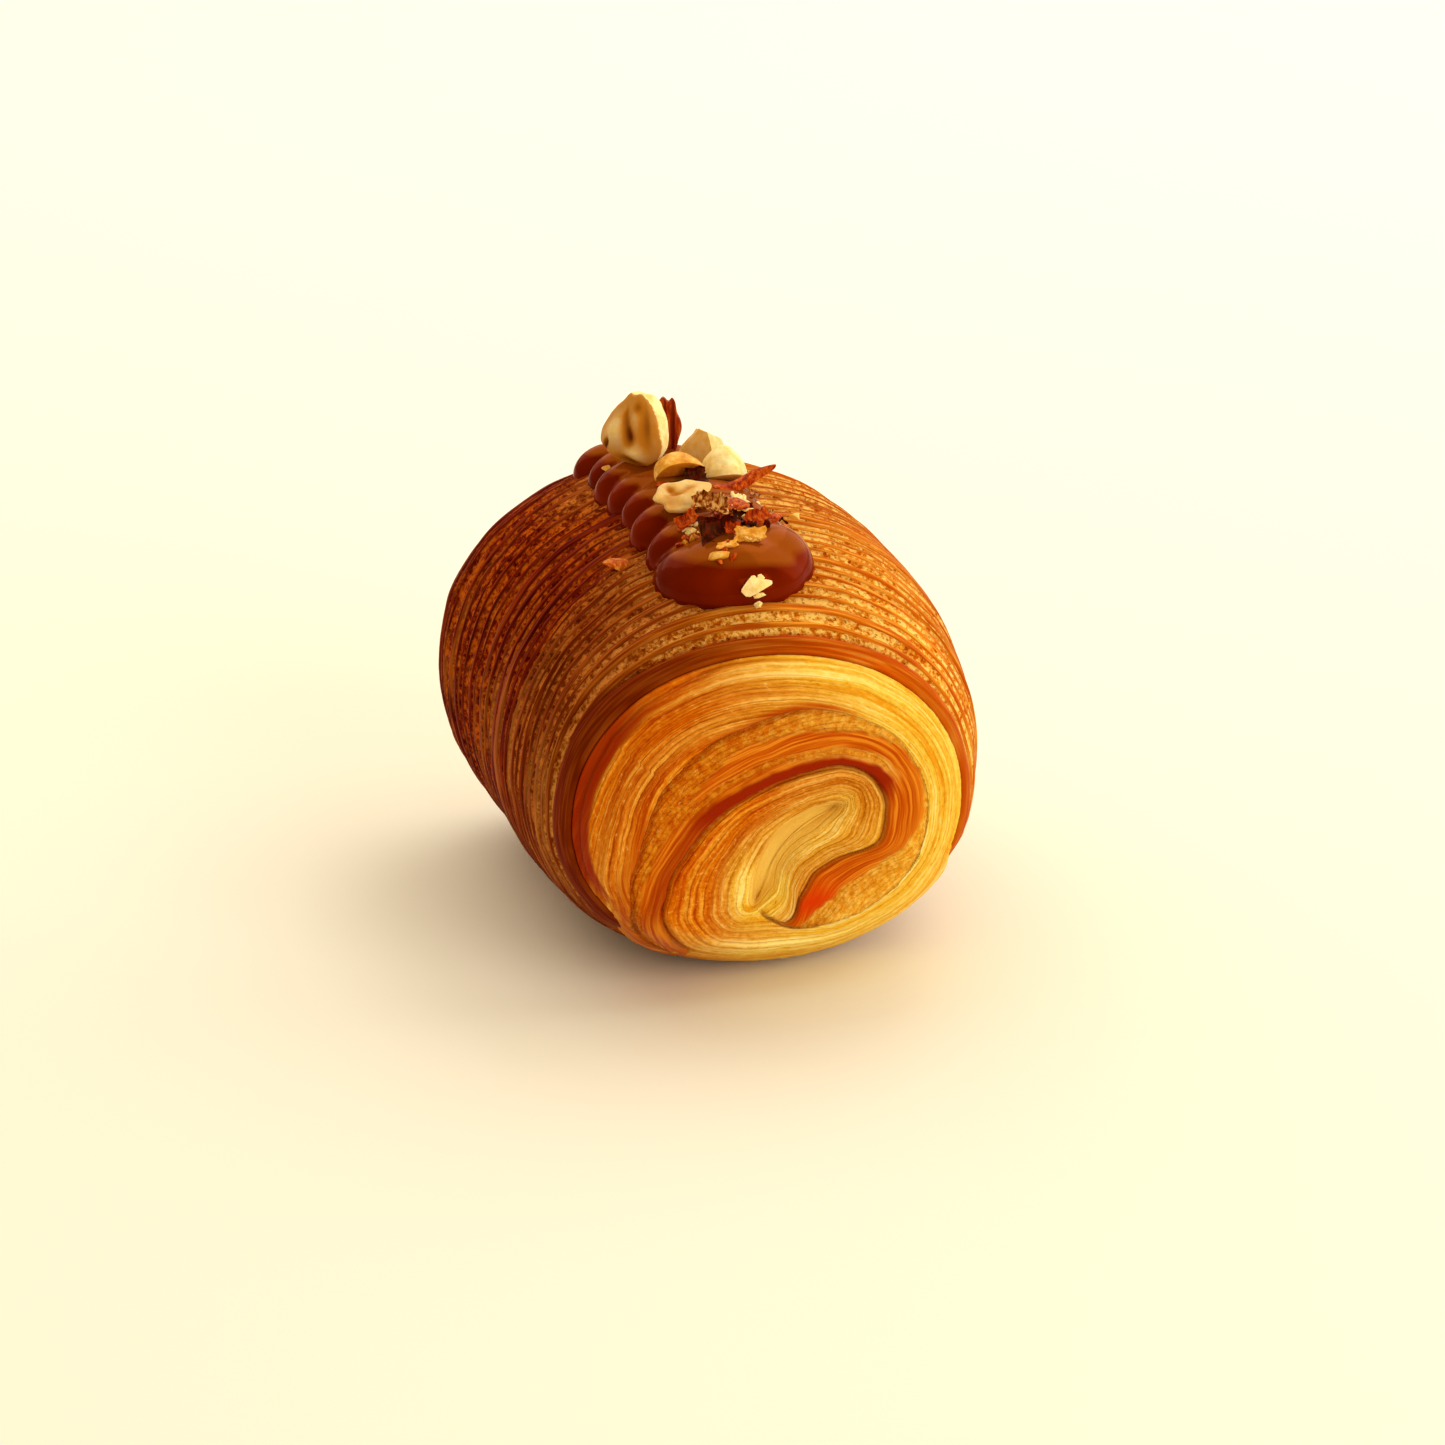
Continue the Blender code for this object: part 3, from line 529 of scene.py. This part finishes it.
fill(shader, {"Base Color": colour, "Roughness": rough, "Normal": bump, "IOR": 1.45, "Metallic": 0.12,
              "Specular IOR Level": 0.12, "Specular Tint": "#FFBE66"})

for name, ring, columns, rings in (
    ("front_spiral", FRONT_RING, 400, 238), ("back_spiral", BACK_RING, 240, 130),
):
    spiral = spiral_end(name, ring, columns, rings)
    spiral.data.materials.append(spiral_finish)
    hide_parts("pastry")
    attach(spiral, "root")

# ---------- the piped ganache
# Soft hazelnut ganache, piped along the crown in a row of overlapping shells that ends in one large
# drop at the front. It is made as separate shells that are then melted into one skin.

SHELL_STEP, SHELL_BACK, SHELLS = 8.5, 35.0, 7
SHELL_RADII, ICING_SINK, MELT_VOXEL = (13.4, 6.0, 7.4), 2.4, 0.5
shell_list = []
for i in range(SHELLS):
    grow = 0.88 + 0.03 * i
    shell_list.append(((-7.2 + 0.55 * i + 0.5 * math.sin(2.1 * i), SHELL_BACK - i * SHELL_STEP),
                       [radius * grow for radius in SHELL_RADII], math.radians(6 * math.sin(1.3 * i))))
shell_list += [
    ((-3.8, -25.5), (14.0, 10.5, 9.0), math.radians(4)),
    ((3.2, -23.0), (8.5, 9.0, 8.8), math.radians(-20)),
    ((-10.8, -25.0), (7.5, 8.5, 7.6), math.radians(25)),
]


def crust_height(x, y):
    """Height of the smooth roll over a point near its top."""
    angles = np.linspace(0.2, math.pi - 0.2, 200)
    line = section(np.full(200, y / HALF_LENGTH), angles)
    return float(np.interp(x + MIDDLE[0], line[::-1, 0], line[::-1, 2]))


def icing_height(x, y):
    """Height of the ganache over a point, or of the crust where there is none."""
    best = crust_height(x, y)
    for place, radii, turn in shell_list:
        dx, dy = x - place[0], y - place[1]
        u = (dx * math.cos(turn) + dy * math.sin(turn)) / radii[0]
        v = (dy * math.cos(turn) - dx * math.sin(turn)) / radii[1]
        if u * u + v * v < 1:
            best = max(best, crust_height(*place) - ICING_SINK + radii[2] * math.sqrt(1 - u * u - v * v))
    return best


def keep_shape(name, shape, smooth=True):
    """An object whose mesh is taken from a bmesh in millimetres."""
    bmesh.ops.scale(shape, vec=(MM, MM, MM), verts=shape.verts)
    bmesh.ops.recalc_face_normals(shape, faces=shape.faces)
    mesh = bpy.data.meshes.new(name)
    shape.to_mesh(mesh)
    shape.free()
    if smooth:
        mesh.shade_smooth()
    piece = bpy.data.objects.new(name, mesh)
    scene.collection.objects.link(piece)
    return piece


icing = bmesh.new()
for i, (place, radii, turn) in enumerate(shell_list):
    drop = bmesh.ops.create_uvsphere(icing, u_segments=48, v_segments=32, radius=1)["verts"]
    bmesh.ops.rotate(icing, verts=drop, matrix=Euler((0, math.pi / 2, 0)).to_matrix())
    if i < SHELLS:
        for vert in drop:
            blunt = math.sqrt((1 - abs(vert.co.x) ** 3) / (1 - vert.co.x ** 2 + 1e-6))
            vert.co.yz = vert.co.yz * blunt
    bmesh.ops.scale(icing, vec=radii, verts=drop)
    bmesh.ops.rotate(icing, verts=drop, matrix=Euler((0, 0, turn)).to_matrix())
    bmesh.ops.translate(icing, verts=drop, vec=(*place, crust_height(*place) - ICING_SINK))
ganache = keep_shape("piped_ganache", icing)
melt = ganache.modifiers.new("melt", "REMESH")
melt.mode = "VOXEL"
melt.voxel_size = MELT_VOXEL * MM
bpy.context.view_layer.update()
melted = bpy.data.meshes.new_from_object(ganache.evaluated_get(bpy.context.evaluated_depsgraph_get()))
ganache.modifiers.remove(melt)
icing = bmesh.new()
icing.from_mesh(melted)
# The whole skin is smoothed a little, and then the row behind the front drop much more
for from_x, from_y, passes in ((-math.inf, -math.inf, 8), (-13 * MM, -17 * MM, 40)):
    verts = [vert for vert in icing.verts if vert.co.x > from_x and vert.co.y > from_y]
    for _ in range(passes):
        bmesh.ops.smooth_vert(
            icing, verts=verts, factor=0.6, use_axis_x=True, use_axis_y=True, use_axis_z=True)
icing.to_mesh(melted)
icing.free()
melted.shade_smooth()
ganache.data = melted

# Hazelnut ganache: cocoa and nut paste, set soft, with a smooth wet gloss and no grain to be seen. Its upper
# side, tilted a little to the right, is painted a paler milky brown, as a painted reflection of the bright
# light above it.
ganache_finish, tree, shader = new_finish("hazelnut ganache")
place = node(tree, "TexCoord", {}, "Object")
cloud = node(tree, "TexNoise", {"Vector": place, "Scale": 1 / 0.012, "Detail": 2.0})
# Painted reflection: surfaces facing up and a little to the right get the milky brown
facing = node(tree, "NewGeometry", {}, "Normal")
upward = node(tree, "VectorMath", {0: facing, 1: (0.2, 0.0, 0.98)}, "Value", operation="DOT_PRODUCT")
upward = node(tree, "Math", {0: cloud, 1: 0.1, 2: upward}, operation="MULTIPLY_ADD")
painted_reflection = node(tree, "MapRange", {"Value": upward, "From Min": 0.68, "From Max": 0.8})
ganache_colour = node(tree, "ValToRGB", {"Fac": cloud}, stops=((0.35, "#5E1000"), (0.65, "#761C00")))
colour = node(tree, "Mix", {"Factor": painted_reflection, 6: ganache_colour, 7: "#8C440A"}, 2, data_type="RGBA")
fill(shader, {"Base Color": colour, "Roughness": 0.13, "IOR": 1.48, "Metallic": 0.18,
              "Specular IOR Level": 0.05, "Specular Tint": "#FFB04A"})
ganache.data.materials.append(ganache_finish)
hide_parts("ganache")
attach(ganache, "root")

# ---------- chips stuck in the ganache
# Small broken bits of nut and of its papery skin, set a little into what they lie on, and two that
# are stuck to the crust.

# X, Y, size, turn and kind of each bit
CHIPS = (
    (-5.2, -20.1, (6.5, 5.0, 1.6), 20, "dark"), (-0.9, -27.4, (5.2, 3.0, 2.0), 15, "gold"),
    (-5.5, -29.3, (4.4, 1.6, 1.3), 15, "gold"), (-8.2, -31.2, (5.6, 2.4, 1.6), -44, "gold"),
    (-9.6, -17.4, (4.6, 2.0, 1.4), 20, "skin"), (-10.2, -19.6, (2.2, 2.2, 1.8), 80, "pale"),
    (-12.2, -21.4, (3.2, 2.0, 1.3), 30, "skin"), (4.8, -17.1, (5.5, 3.0, 1.4), 20, "skin"),
    (1.7, -15.5, (3.2, 2.4, 1.8), 50, "pale"), (7.4, -18.5, (3.2, 1.6, 1.4), 70, "skin"),
    (-14.7, 23.5, (2.6, 2.0, 1.4), 0, "gold"), (5.8, -4.6, (3.0, 2.4, 1.8), 25, "pale"),
    (-2.5, -35.5, (6.0, 3.4, 4.0), 5, "pale"), (-2.8, 4.4, (4.0, 2.4, 1.8), 60, "dark"),
    (-21.4, -12.6, (6.6, 3.4, 2.0), 0, "flake"), (13.2, -5.6, (3.2, 2.2, 1.6), 10, "gold"),
)

# Nut flesh is cream outside and tan where it is split, which each piece gives as "brown" from 0 to 1; folds
# in a split face add painted shade, up to dark, in their hollows and grooves, and take it off as painted
# highlight where they swell. The skin is thin, dark red and dull, with veins 0.7 mm apart that run upwards.
nut_finishes = {}
for kind, title, stops, tan, veins in (
    ("pale", "blanched hazelnut", ((0.3, "#EDC466"), (0.5, "#FAE6A0"), (0.7, "#FFF9CE")), "#BE7A1C", 1.0),
    ("gold", "roasted hazelnut", ((0.3, "#C07A1C"), (0.5, "#E2A43A"), (0.7, "#F6D280")), "#A85A08", 1.0),
    ("skin", "nut skin", ((0.36, "#761400"), (0.5, "#B43C04"), (0.66, "#D87424")), "#6A1200", 0.15),
    ("dark", "dark nut skin", ((0.36, "#1C0100"), (0.5, "#3E0400"), (0.7, "#6C1400")), "#1C0200", 0.3),
    ("striped", "inside of nut skin", ((0.4, "#5A1A02"), (0.5, "#A85C1A"), (0.6, "#E2B26A")), "#3A0A00", 0.1),
    ("flake", "crust flake", ((0.3, "#8E2C04"), (0.5, "#C0560C"), (0.7, "#EBA850")), "#7A1E00", 0.4),
):
    finish, tree, shader = new_finish(title)
    place = node(tree, "TexCoord", {}, "Object")
    stretched = node(tree, "Mapping", {"Vector": place, "Scale": (1.0, 1.0, veins)})
    size = 0.0022 if veins == 1.0 else 0.0007
    grain = node(tree, "TexNoise", {"Vector": stretched, "Scale": 1 / size, "Detail": 4.0, "Roughness": 0.65})
    colour = node(tree, "ValToRGB", {"Fac": grain}, stops=stops)
    brown = node(tree, "Attribute", {}, "Fac", attribute_name="brown")
    for bound, over in (("From Max", tan), ("From Min", "#5E1C02")):
        amount = node(tree, "MapRange", {"Value": brown, bound: 0.5})
        colour = node(tree, "Mix", {"Factor": amount, 6: colour, 7: over}, 2, data_type="RGBA")
    bump = node(tree, "Bump", {"Height": grain, "Strength": 0.5, "Distance": 0.0003})
    fill(shader, {"Base Color": colour, "Normal": bump, "Roughness": 0.45, "IOR": 1.46,
                  "Specular IOR Level": 0.2, "Specular Tint": "#FFC070"})
    nut_finishes[kind] = finish

CHIP_SWELL = 1.12  # makes good what the flat faces take off
random.seed(21)
chip_shapes = {kind: bmesh.new() for kind in nut_finishes}
for x, y, size, turn, kind in CHIPS:
    shape = chip_shapes[kind]
    bit = bmesh.ops.create_icosphere(shape, subdivisions=3, radius=0.5)["verts"]
    for _ in range(9):
        way = Vector([random.uniform(-1, 1) for _ in range(3)]).normalized()
        reach = random.uniform(0.24, 0.4)
        for vert in bit:
            over = vert.co.dot(way) - reach
            if over > 0:
                vert.co -= way * over
    bmesh.ops.scale(shape, vec=[side * CHIP_SWELL for side in size], verts=bit)
    tip = (random.uniform(-0.3, 0.3), random.uniform(-0.3, 0.3), math.radians(turn))
    bmesh.ops.rotate(shape, verts=bit, matrix=Euler(tip).to_matrix())
    bmesh.ops.translate(shape, verts=bit, vec=(x, y, icing_height(x, y)))

# Sheets of broken skin and thin flakes, which stand up from the ganache at all angles: X, Y, height over
# the ganache, length, width, how far it curls, its turn, its tilts about X and Y in degrees, and kind
SHEETS = (
    (-5.5, -16.6, 2.4, 9.0, 4.6, 0.9, -24, 50, 8, "striped"),
    (-6.6, -24.6, 1.0, 8.4, 5.8, 1.2, 8, 62, 0, "dark"),
    (-8.0, -11.6, 0.6, 5.4, 3.0, 0.5, 20, 30, 14, "dark"),
    (-10.2, -17.8, 1.0, 6.4, 3.2, 0.9, 28, 40, -18, "skin"),
    (2.2, -19.6, 0.9, 6.6, 4.0, 0.8, 22, 48, -8, "skin"),
    (6.2, -15.6, 0.8, 3.4, 2.4, 0.6, 60, 50, 20, "striped"),
    (9.4, -9.6, 0.8, 3.6, 1.3, 0.3, -52, 40, 30, "dark"),
    (2.2, -11.0, 1.0, 3.4, 2.0, 0.5, -30, 35, 0, "dark"), (-4.2, -0.4, 1.4, 5.0, 3.6, 0.9, 0, 55, 0, "dark"),
    (-5.2, 15.6, 0.5, 4.6, 2.4, 0.6, 12, 25, 0, "dark"), (-4.4, -26.4, 1.5, 3.4, 3.0, 0.4, 0, 60, 10, "skin"),
    (-6.0, -29.6, 0.5, 5.2, 1.6, 0.2, 14, 20, 0, "gold"),
    (6.4, -1.4, 0.7, 3.2, 2.0, 0.4, 30, 30, 0, "striped"),
    (-10.2, 0.6, 0.4, 2.8, 1.6, 0.3, -20, 20, 0, "skin"),
    (-1.4, -28.0, 0.8, 6.6, 3.8, 0.5, -8, 45, 0, "gold"),
    (-0.6, -18.4, 0.8, 4.0, 2.2, 0.6, -14, 40, 12, "dark"),
    (-9.4, -21.4, 0.3, 3.0, 1.8, 0.4, 70, 30, 0, "skin"),
    (-3.0, -21.6, 1.0, 4.6, 2.6, 0.8, 30, 35, -20, "dark"),
)
# Fine crumbs of nut lie thick between them, round these places: X, Y, spread, number and kind
CRUMB_HEAPS = (
    (0.4, -17.0, 2.4, 34, "pale"), (3.6, -16.2, 1.6, 12, "gold"), (1.6, -8.8, 1.3, 14, "pale"),
    (-1.8, -27.6, 1.4, 12, "pale"), (-9.8, -19.8, 1.4, 14, "pale"), (-2.4, -35.6, 0.8, 12, "pale"),
    (-11.0, -21.2, 1.2, 7, "gold"), (-10.6, -20.8, 1.6, 8, "skin"), (0.0, -21.0, 3.6, 18, "dark"),
    (-3.6, -18.0, 3.0, 14, "skin"), (-7.0, -30.6, 2.6, 6, "skin"), (-5.0, 16.6, 1.8, 6, "pale"),
    (8.6, -12.0, 2.2, 7, "gold"), (-3.4, 1.0, 1.8, 8, "dark"),
)
SHEET_THICKNESS, CRUMB_SIZES, CRUMB_LIFT = 0.35, (0.6, 1.9), 0.35


def thin_sheet(shape, long, wide, curl):
    """Adds a thin sheet with a ragged edge, curled across its width, and gives its vertices."""
    sheet = bmesh.ops.create_grid(shape, x_segments=12, y_segments=8, size=0.5)["verts"]
    sheet_faces = list({face for vert in sheet for face in vert.link_faces})
    seed = random.randint(0, 9999)
    for vert in sheet:
        x, y = vert.co.x, vert.co.y
        rim = max(abs(x), abs(y)) * 2
        pull = rim ** 3 * (0.3 + 0.3 * float(rumple((x * 8, y * 8, 0), 1.6, seed))) * random.uniform(0.5, 1.2)
        wave = 0.12 * float(rumple((x * 6, y * 6, 0), 1.3, seed + 1))
        vert.co = (x * long * (1 - pull), y * wide * (1 - pull), 4 * curl * y * y + wave * wide * 0.5)
    thick = bmesh.ops.solidify(shape, geom=sheet_faces, thickness=SHEET_THICKNESS)["geom"]
    return list({*sheet, *(part for part in thick if isinstance(part, bmesh.types.BMVert))})


def lay(shape, verts, place, turn):
    """Turns vertices about X, Y and Z by angles in degrees, and moves them to a place in millimetres."""
    turned = Euler([math.radians(angle) for angle in turn]).to_matrix()
    bmesh.ops.rotate(shape, verts=verts, matrix=turned)
    bmesh.ops.translate(shape, verts=verts, vec=place)


random.seed(5)
for x, y, lift, long, wide, curl, turn, lean, roll, kind in SHEETS:
    shape = chip_shapes[kind]
    lay(shape, thin_sheet(shape, long, wide, curl), (x, y, icing_height(x, y) + lift), (lean, roll, turn))
for x, y, spread, count, kind in CRUMB_HEAPS:
    for _ in range(count):
        a, b = x + random.gauss(0, spread / 2), y + random.gauss(0, spread / 2)
        bit = bmesh.ops.create_icosphere(chip_shapes[kind], subdivisions=1, radius=0.5)["verts"]
        size = random.uniform(*CRUMB_SIZES)
        for vert in bit:
            vert.co *= random.uniform(0.6, 1.15)
        bmesh.ops.scale(chip_shapes[kind], vec=(size * random.uniform(1, 1.7), size, size * 0.7), verts=bit)
        turns = [random.uniform(0, 360) for _ in range(3)]
        lay(chip_shapes[kind], bit, (a, b, icing_height(a, b) + CRUMB_LIFT), turns)

for kind, shape in chip_shapes.items():
    chips = keep_shape(kind + "_chips", shape, smooth=False)
    chips.data.materials.append(nut_finishes[kind])
    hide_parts("pastry" if kind == "flake" else "ganache")
    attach(chips, "root")

# ---------- hazelnut halves
# Blanched hazelnuts, split in two: round pale backs, and flat tan faces with a hollow in the middle that is
# browner with painted shade.


def half_nut(long, wide, deep, taper, top, folds, seed):
    """Half a hazelnut, standing on end and broken off at its top, round at the back and split towards -Y.

    Each fold of its face has a place across and up, two sizes, a depth in millimetres and how brown it makes
    the face: browner in hollows as painted shade, paler on swells as painted highlight."""
    shape = bmesh.new()
    bmesh.ops.create_uvsphere(shape, u_segments=96, v_segments=64, radius=1)
    brown = shape.verts.layers.float.new("brown")
    coarse = np.array([vert.co for vert in shape.verts])
    rough = 0.05 * rumple(coarse, 0.5, seed) + 0.02 * rumple(coarse, 0.2, seed + 1)
    for vert, push in zip(shape.verts, rough):
        x, y, z = vert.co
        sunk = 0.0
        if y < 0:
            y = 0.14 * y
            vert[brown] = 0.45
            for across, up, side, rise, dip, tan in folds:
                near = math.exp(-((x - across) / side) ** 2 - ((z - up) / rise) ** 2)
                sunk += dip * near
                vert[brown] = min(1.0, max(0.0, vert[brown] + tan * near))
        z = min(z, top + 0.04 * math.sin(7 * x))
        vert.co = Vector((x * wide / 2 * (1 - taper * z), y * deep, z * long / 2)) * (1 + push)
        vert.co.y += sunk
    return shape


# The folds of the half at the back, which is the one whose face is seen whole
BACK_FOLDS = (
    (0.0, -0.26, 0.13, 0.17, 0.8, 0.55), (-0.1, -0.08, 0.11, 0.15, 0.6, 0.4),
    (-0.22, 0.1, 0.1, 0.15, 0.6, 0.3), (-0.32, 0.3, 0.09, 0.16, 0.4, 0.25),
    (0.16, 0.58, 0.16, 0.12, 0.1, 0.35), (0.48, 0.08, 0.17, 0.42, 0.9, 0.22),
    (-0.62, -0.6, 0.05, 0.16, 0.9, 1.0), (-0.52, -0.15, 0.26, 0.4, -1.1, -0.35),
    (0.2, -0.62, 0.24, 0.22, -0.8, -0.3), (0.1, 0.3, 0.15, 0.3, -0.3, -0.1),
    (0.1, -0.88, 0.35, 0.1, 0.5, 0.5),
)
RIGHT_FOLDS = ((0, -0.3, 0.7, 0.3, 0.4, 0.5),)
LEFT_FOLDS = ((0.1, 0, 0.12, 0.9, 0.6, 0.5), (0.7, 0, 0.4, 0.8, -0.2, -0.3))
for name, sizes, folds, place, turn, kind in (
    ("hazelnut_half_back", (14.6, 11.9, 8.2, 0.5, 0.86), BACK_FOLDS,
     (-11.3, 17.4, 87.3), (-6, 8, -46), "pale"),
    ("hazelnut_half_right", (9.0, 8.6, 6.2, 0.15, 1.1), RIGHT_FOLDS,
     (3.0, 5.6, 79.6), (62, 12, 14), "pale"),
    ("hazelnut_half_left", (9.8, 6.4, 4.4, 0.2, 1.1), LEFT_FOLDS,
     (-6.4, 2.6, 82.6), (90, 55, 102), "gold"),
):
    shape = half_nut(*sizes, folds, 31)
    lay(shape, shape.verts, place, turn)
    half = keep_shape(name + "_dressed", shape)
    half.data.materials.append(nut_finishes[kind])
    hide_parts(name)
    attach(half, "root")

# ---------- slices, chunk and skins
# A thin slice of nut, an upright sliver with its skin on, a broken lump and two curled strips of dark
# red skin, each laid on the ganache as it fell.


def nut_slice(long, wide, thick, broken, folds, seed):
    """A thin flat slice with an uneven edge, lying in XY, broken off straight at a share of its length."""
    shape = bmesh.new()
    bmesh.ops.create_uvsphere(shape, u_segments=96, v_segments=32, radius=1)
    brown = shape.verts.layers.float.new("brown")
    coarse = np.array([vert.co for vert in shape.verts])
    rough = 0.1 * rumple(coarse, 0.45, seed) + 0.05 * rumple(coarse, 0.18, seed + 1)
    for vert, push in zip(shape.verts, rough):
        x, y = vert.co.x, vert.co.y
        angle = math.atan2(y, x)
        edge = 1 + 0.1 * math.sin(3 * angle + 1) + 0.06 * math.sin(7 * angle) + 0.4 * push
        x, y = min(x * edge, broken + 0.06 * math.sin(9 * y)), y * edge
        z = power(vert.co.z, 0.6) * thick / 2 * (1 + 2 * push)
        vert[brown] = 0.2
        # Each fold grooves the top and browns it there, as painted shade in the groove
        for along, across, side, rise, dip, tan in folds:
            near = math.exp(-((x - along) / side) ** 2 - ((y - across) / rise) ** 2)
            z -= dip * near * (z > 0)
            vert[brown] = min(1.0, vert[brown] + tan * near)
        vert.co = (x * long / 2, y * wide / 2, z)
    return shape


def nut_chunk(size, cuts, seed):
    """A broken lump of nut: a rough ball with flat faces split off it.

    Each cut has the X, Y and Z that it faces, its reach from the middle and how brown it is."""
    shape = bmesh.new()
    bmesh.ops.create_icosphere(shape, subdivisions=5, radius=1)
    brown = shape.verts.layers.float.new("brown")
    for x, y, z, reach, tan in cuts:
        way = Vector((x, y, z)).normalized()
        for vert in shape.verts:
            over = vert.co.dot(way) - reach
            if over > 0:
                vert.co -= way * over
                vert[brown] = tan
    coarse = np.array([vert.co for vert in shape.verts])
    for vert, push in zip(shape.verts, 0.04 * rumple(coarse, 0.3, seed)):
        vert.co *= 1 + push
    bmesh.ops.scale(shape, vec=[side / 2 for side in size], verts=shape.verts)
    return shape


def skin_strip(long, wide, thick, curl, seed):
    """A long curled sliver that tapers to a point at both ends, along X."""
    shape = bmesh.new()
    bmesh.ops.create_uvsphere(shape, u_segments=32, v_segments=56, radius=1)
    bmesh.ops.rotate(shape, verts=shape.verts, matrix=Euler((0, math.pi / 2, 0)).to_matrix())
    coarse = np.array([vert.co for vert in shape.verts])
    for vert, push in zip(shape.verts, rumple(coarse, (0.35, 0.5, 0.5), seed)):
        x, y, z = vert.co
        vert.co = (x * long / 2, y * wide / 2 * (1 + 0.15 * push) + 0.12 * wide * math.sin(4 * x),
                   z * thick / 2 * (1 + 0.2 * push) + curl * x * x)
    return shape


GROOVES = ((0.0, -0.5, 0.9, 0.12, 0.25, 0.6), (0.1, 0.05, 0.9, 0.1, 0.25, 0.5),
           (0.0, 0.6, 0.9, 0.2, 0.1, 0.8))
CHUNK_CUTS = ((-0.6, -0.75, 0.25, 0.5, 0.28), (0.8, -0.5, 0.35, 0.6, 0.15), (0.45, 0.2, 0.85, 0.72, 0.0),
              (-0.75, 0.2, 0.65, 0.7, 0.3), (0.2, 0.9, 0.1, 0.6, 0.2), (0.0, 0.0, -1.0, 0.7, 0.5))
SLICE_FOLDS = ((-0.35, 0.45, 0.14, 0.3, 0.5, 0.55), (-0.2, 0.1, 0.3, 0.12, 0.4, 0.35),
               (0.3, 0.25, 0.3, 0.14, 0.3, 0.25), (-0.6, -0.3, 0.3, 0.4, 0.2, 0.2))
for name, shape, place, turn, kind in (
    ("almond_sliver", nut_slice(12.6, 5.4, 2.0, 0.78, GROOVES, 41), (-2.8, 26.6, 84.2), (0, -84, 72), "skin"),
    ("hazelnut_chunk", nut_chunk((9.4, 8.0, 9.4), CHUNK_CUTS, 42), (1.8, 17.0, 81.8), (0, 0, 0), "pale"),
    ("hazelnut_slice", nut_slice(11.4, 6.6, 1.8, 1.2, SLICE_FOLDS, 43),
     (-9.0, -9.8, 82.6), (34, -4, 18), "pale"),
    ("skin_shard", skin_strip(12.6, 2.6, 1.1, 1.6, 44), (5.2, -0.4, 81.0), (30, -14, 7), "skin"),
    ("skin_flake", skin_strip(9.6, 4.0, 1.1, 0.8, 45), (-2.4, -14.0, 81.8), (14, 6, -30), "skin"),
):
    lay(shape, shape.verts, place, turn)
    bit = keep_shape(name + "_dressed", shape)
    bit.data.materials.append(nut_finishes[kind])
    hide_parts(name)
    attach(bit, "root")

# ---------- floor, lights and camera
# A plain pale floor, a large soft light from the right and behind, one overhead, a weaker one from the
# front, and a camera at the photograph's angle, 23.6 degrees above the horizon and 15 to the left.

floor_shape = bmesh.new()
bmesh.ops.create_grid(floor_shape, x_segments=1, y_segments=1, size=6.0)
floor_mesh = bpy.data.meshes.new("floor")
floor_shape.to_mesh(floor_mesh)
floor_shape.free()
floor = bpy.data.objects.new("floor", floor_mesh)
scene.collection.objects.link(floor)
floor.location.z = -0.2 * MM
# Uncoated card: pale, matt and even, so that it takes soft shadows and nothing else
floor_finish, tree, shader = new_finish("matt pale card")
fill(shader, {"Base Color": "#F2F7F8", "Roughness": 0.8})
floor.data.materials.append(floor_finish)

world = bpy.data.worlds.new("studio")
scene.world = world
world.use_nodes = True
fill(world.node_tree.nodes["Background"], {"Color": "#FFDDA8", "Strength": 0.62})

# Name, place, height of what it is aimed at, width and length, watts and colour of each light
for name, place, aim, size, watts, colour in (
    ("key", (0.95, 0.35, 0.75), 0.04, (1.6, 1.6), 11, "#FFF5DE"),
    ("overhead", (-0.05, 0.7, 0.8), 0.06, (1.6, 1.4), 8.5, "#FFF3DA"),
    ("fill", (0.6, -1.1, 0.5), 0.04, (0.8, 0.8), 7.6, "#FFF3E0"),
):
    lamp = bpy.data.lights.new(name, "AREA")
    lamp.shape = "RECTANGLE"
    lamp.size, lamp.size_y = size
    lamp.energy = watts
    lamp.color = linear(colour)[:3]
    holder = bpy.data.objects.new(name, lamp)
    scene.collection.objects.link(holder)
    holder.location = place
    holder.rotation_euler = (Vector(place) - Vector((0, 0, aim))).to_track_quat("Z", "Y").to_euler()

# The camera is turned about a point on the floor, shifted so that the roll lies where the photo has it
azimuth, elevation, roll = math.radians(-15.0), math.radians(23.6), math.radians(-0.3)
CAMERA_DISTANCE, AIM_RIGHT, AIM_UP = 900.0, 1.6, 31.44
PIXELS_PER_MM, PHOTO_WIDTH_PIXELS, SENSOR_WIDTH = 5.262, 1445, 36
level = math.cos(elevation)
back = Vector((math.sin(azimuth) * level, -math.cos(azimuth) * level, math.sin(elevation)))
right = Vector((math.cos(azimuth), math.sin(azimuth), 0))
up = back.cross(right)
place = Vector(-MIDDLE * MM) + back * CAMERA_DISTANCE * MM
aim = Vector(-MIDDLE * MM) + right * AIM_RIGHT * MM + up * AIM_UP * MM
back = (place - aim).normalized()
right = Vector((0, 0, 1)).cross(back).normalized()
up = back.cross(right)
right, up = right * math.cos(roll) + up * math.sin(roll), up * math.cos(roll) - right * math.sin(roll)
lens = bpy.data.cameras.new("camera")
lens.sensor_width = SENSOR_WIDTH
lens.lens = PIXELS_PER_MM * CAMERA_DISTANCE / PHOTO_WIDTH_PIXELS * SENSOR_WIDTH
camera = bpy.data.objects.new("camera", lens)
camera.matrix_world = Matrix.Translation(place) @ Matrix((right, up, back)).transposed().to_4x4()
scene.collection.objects.link(camera)
scene.camera = camera

bpy.context.view_layer.update()
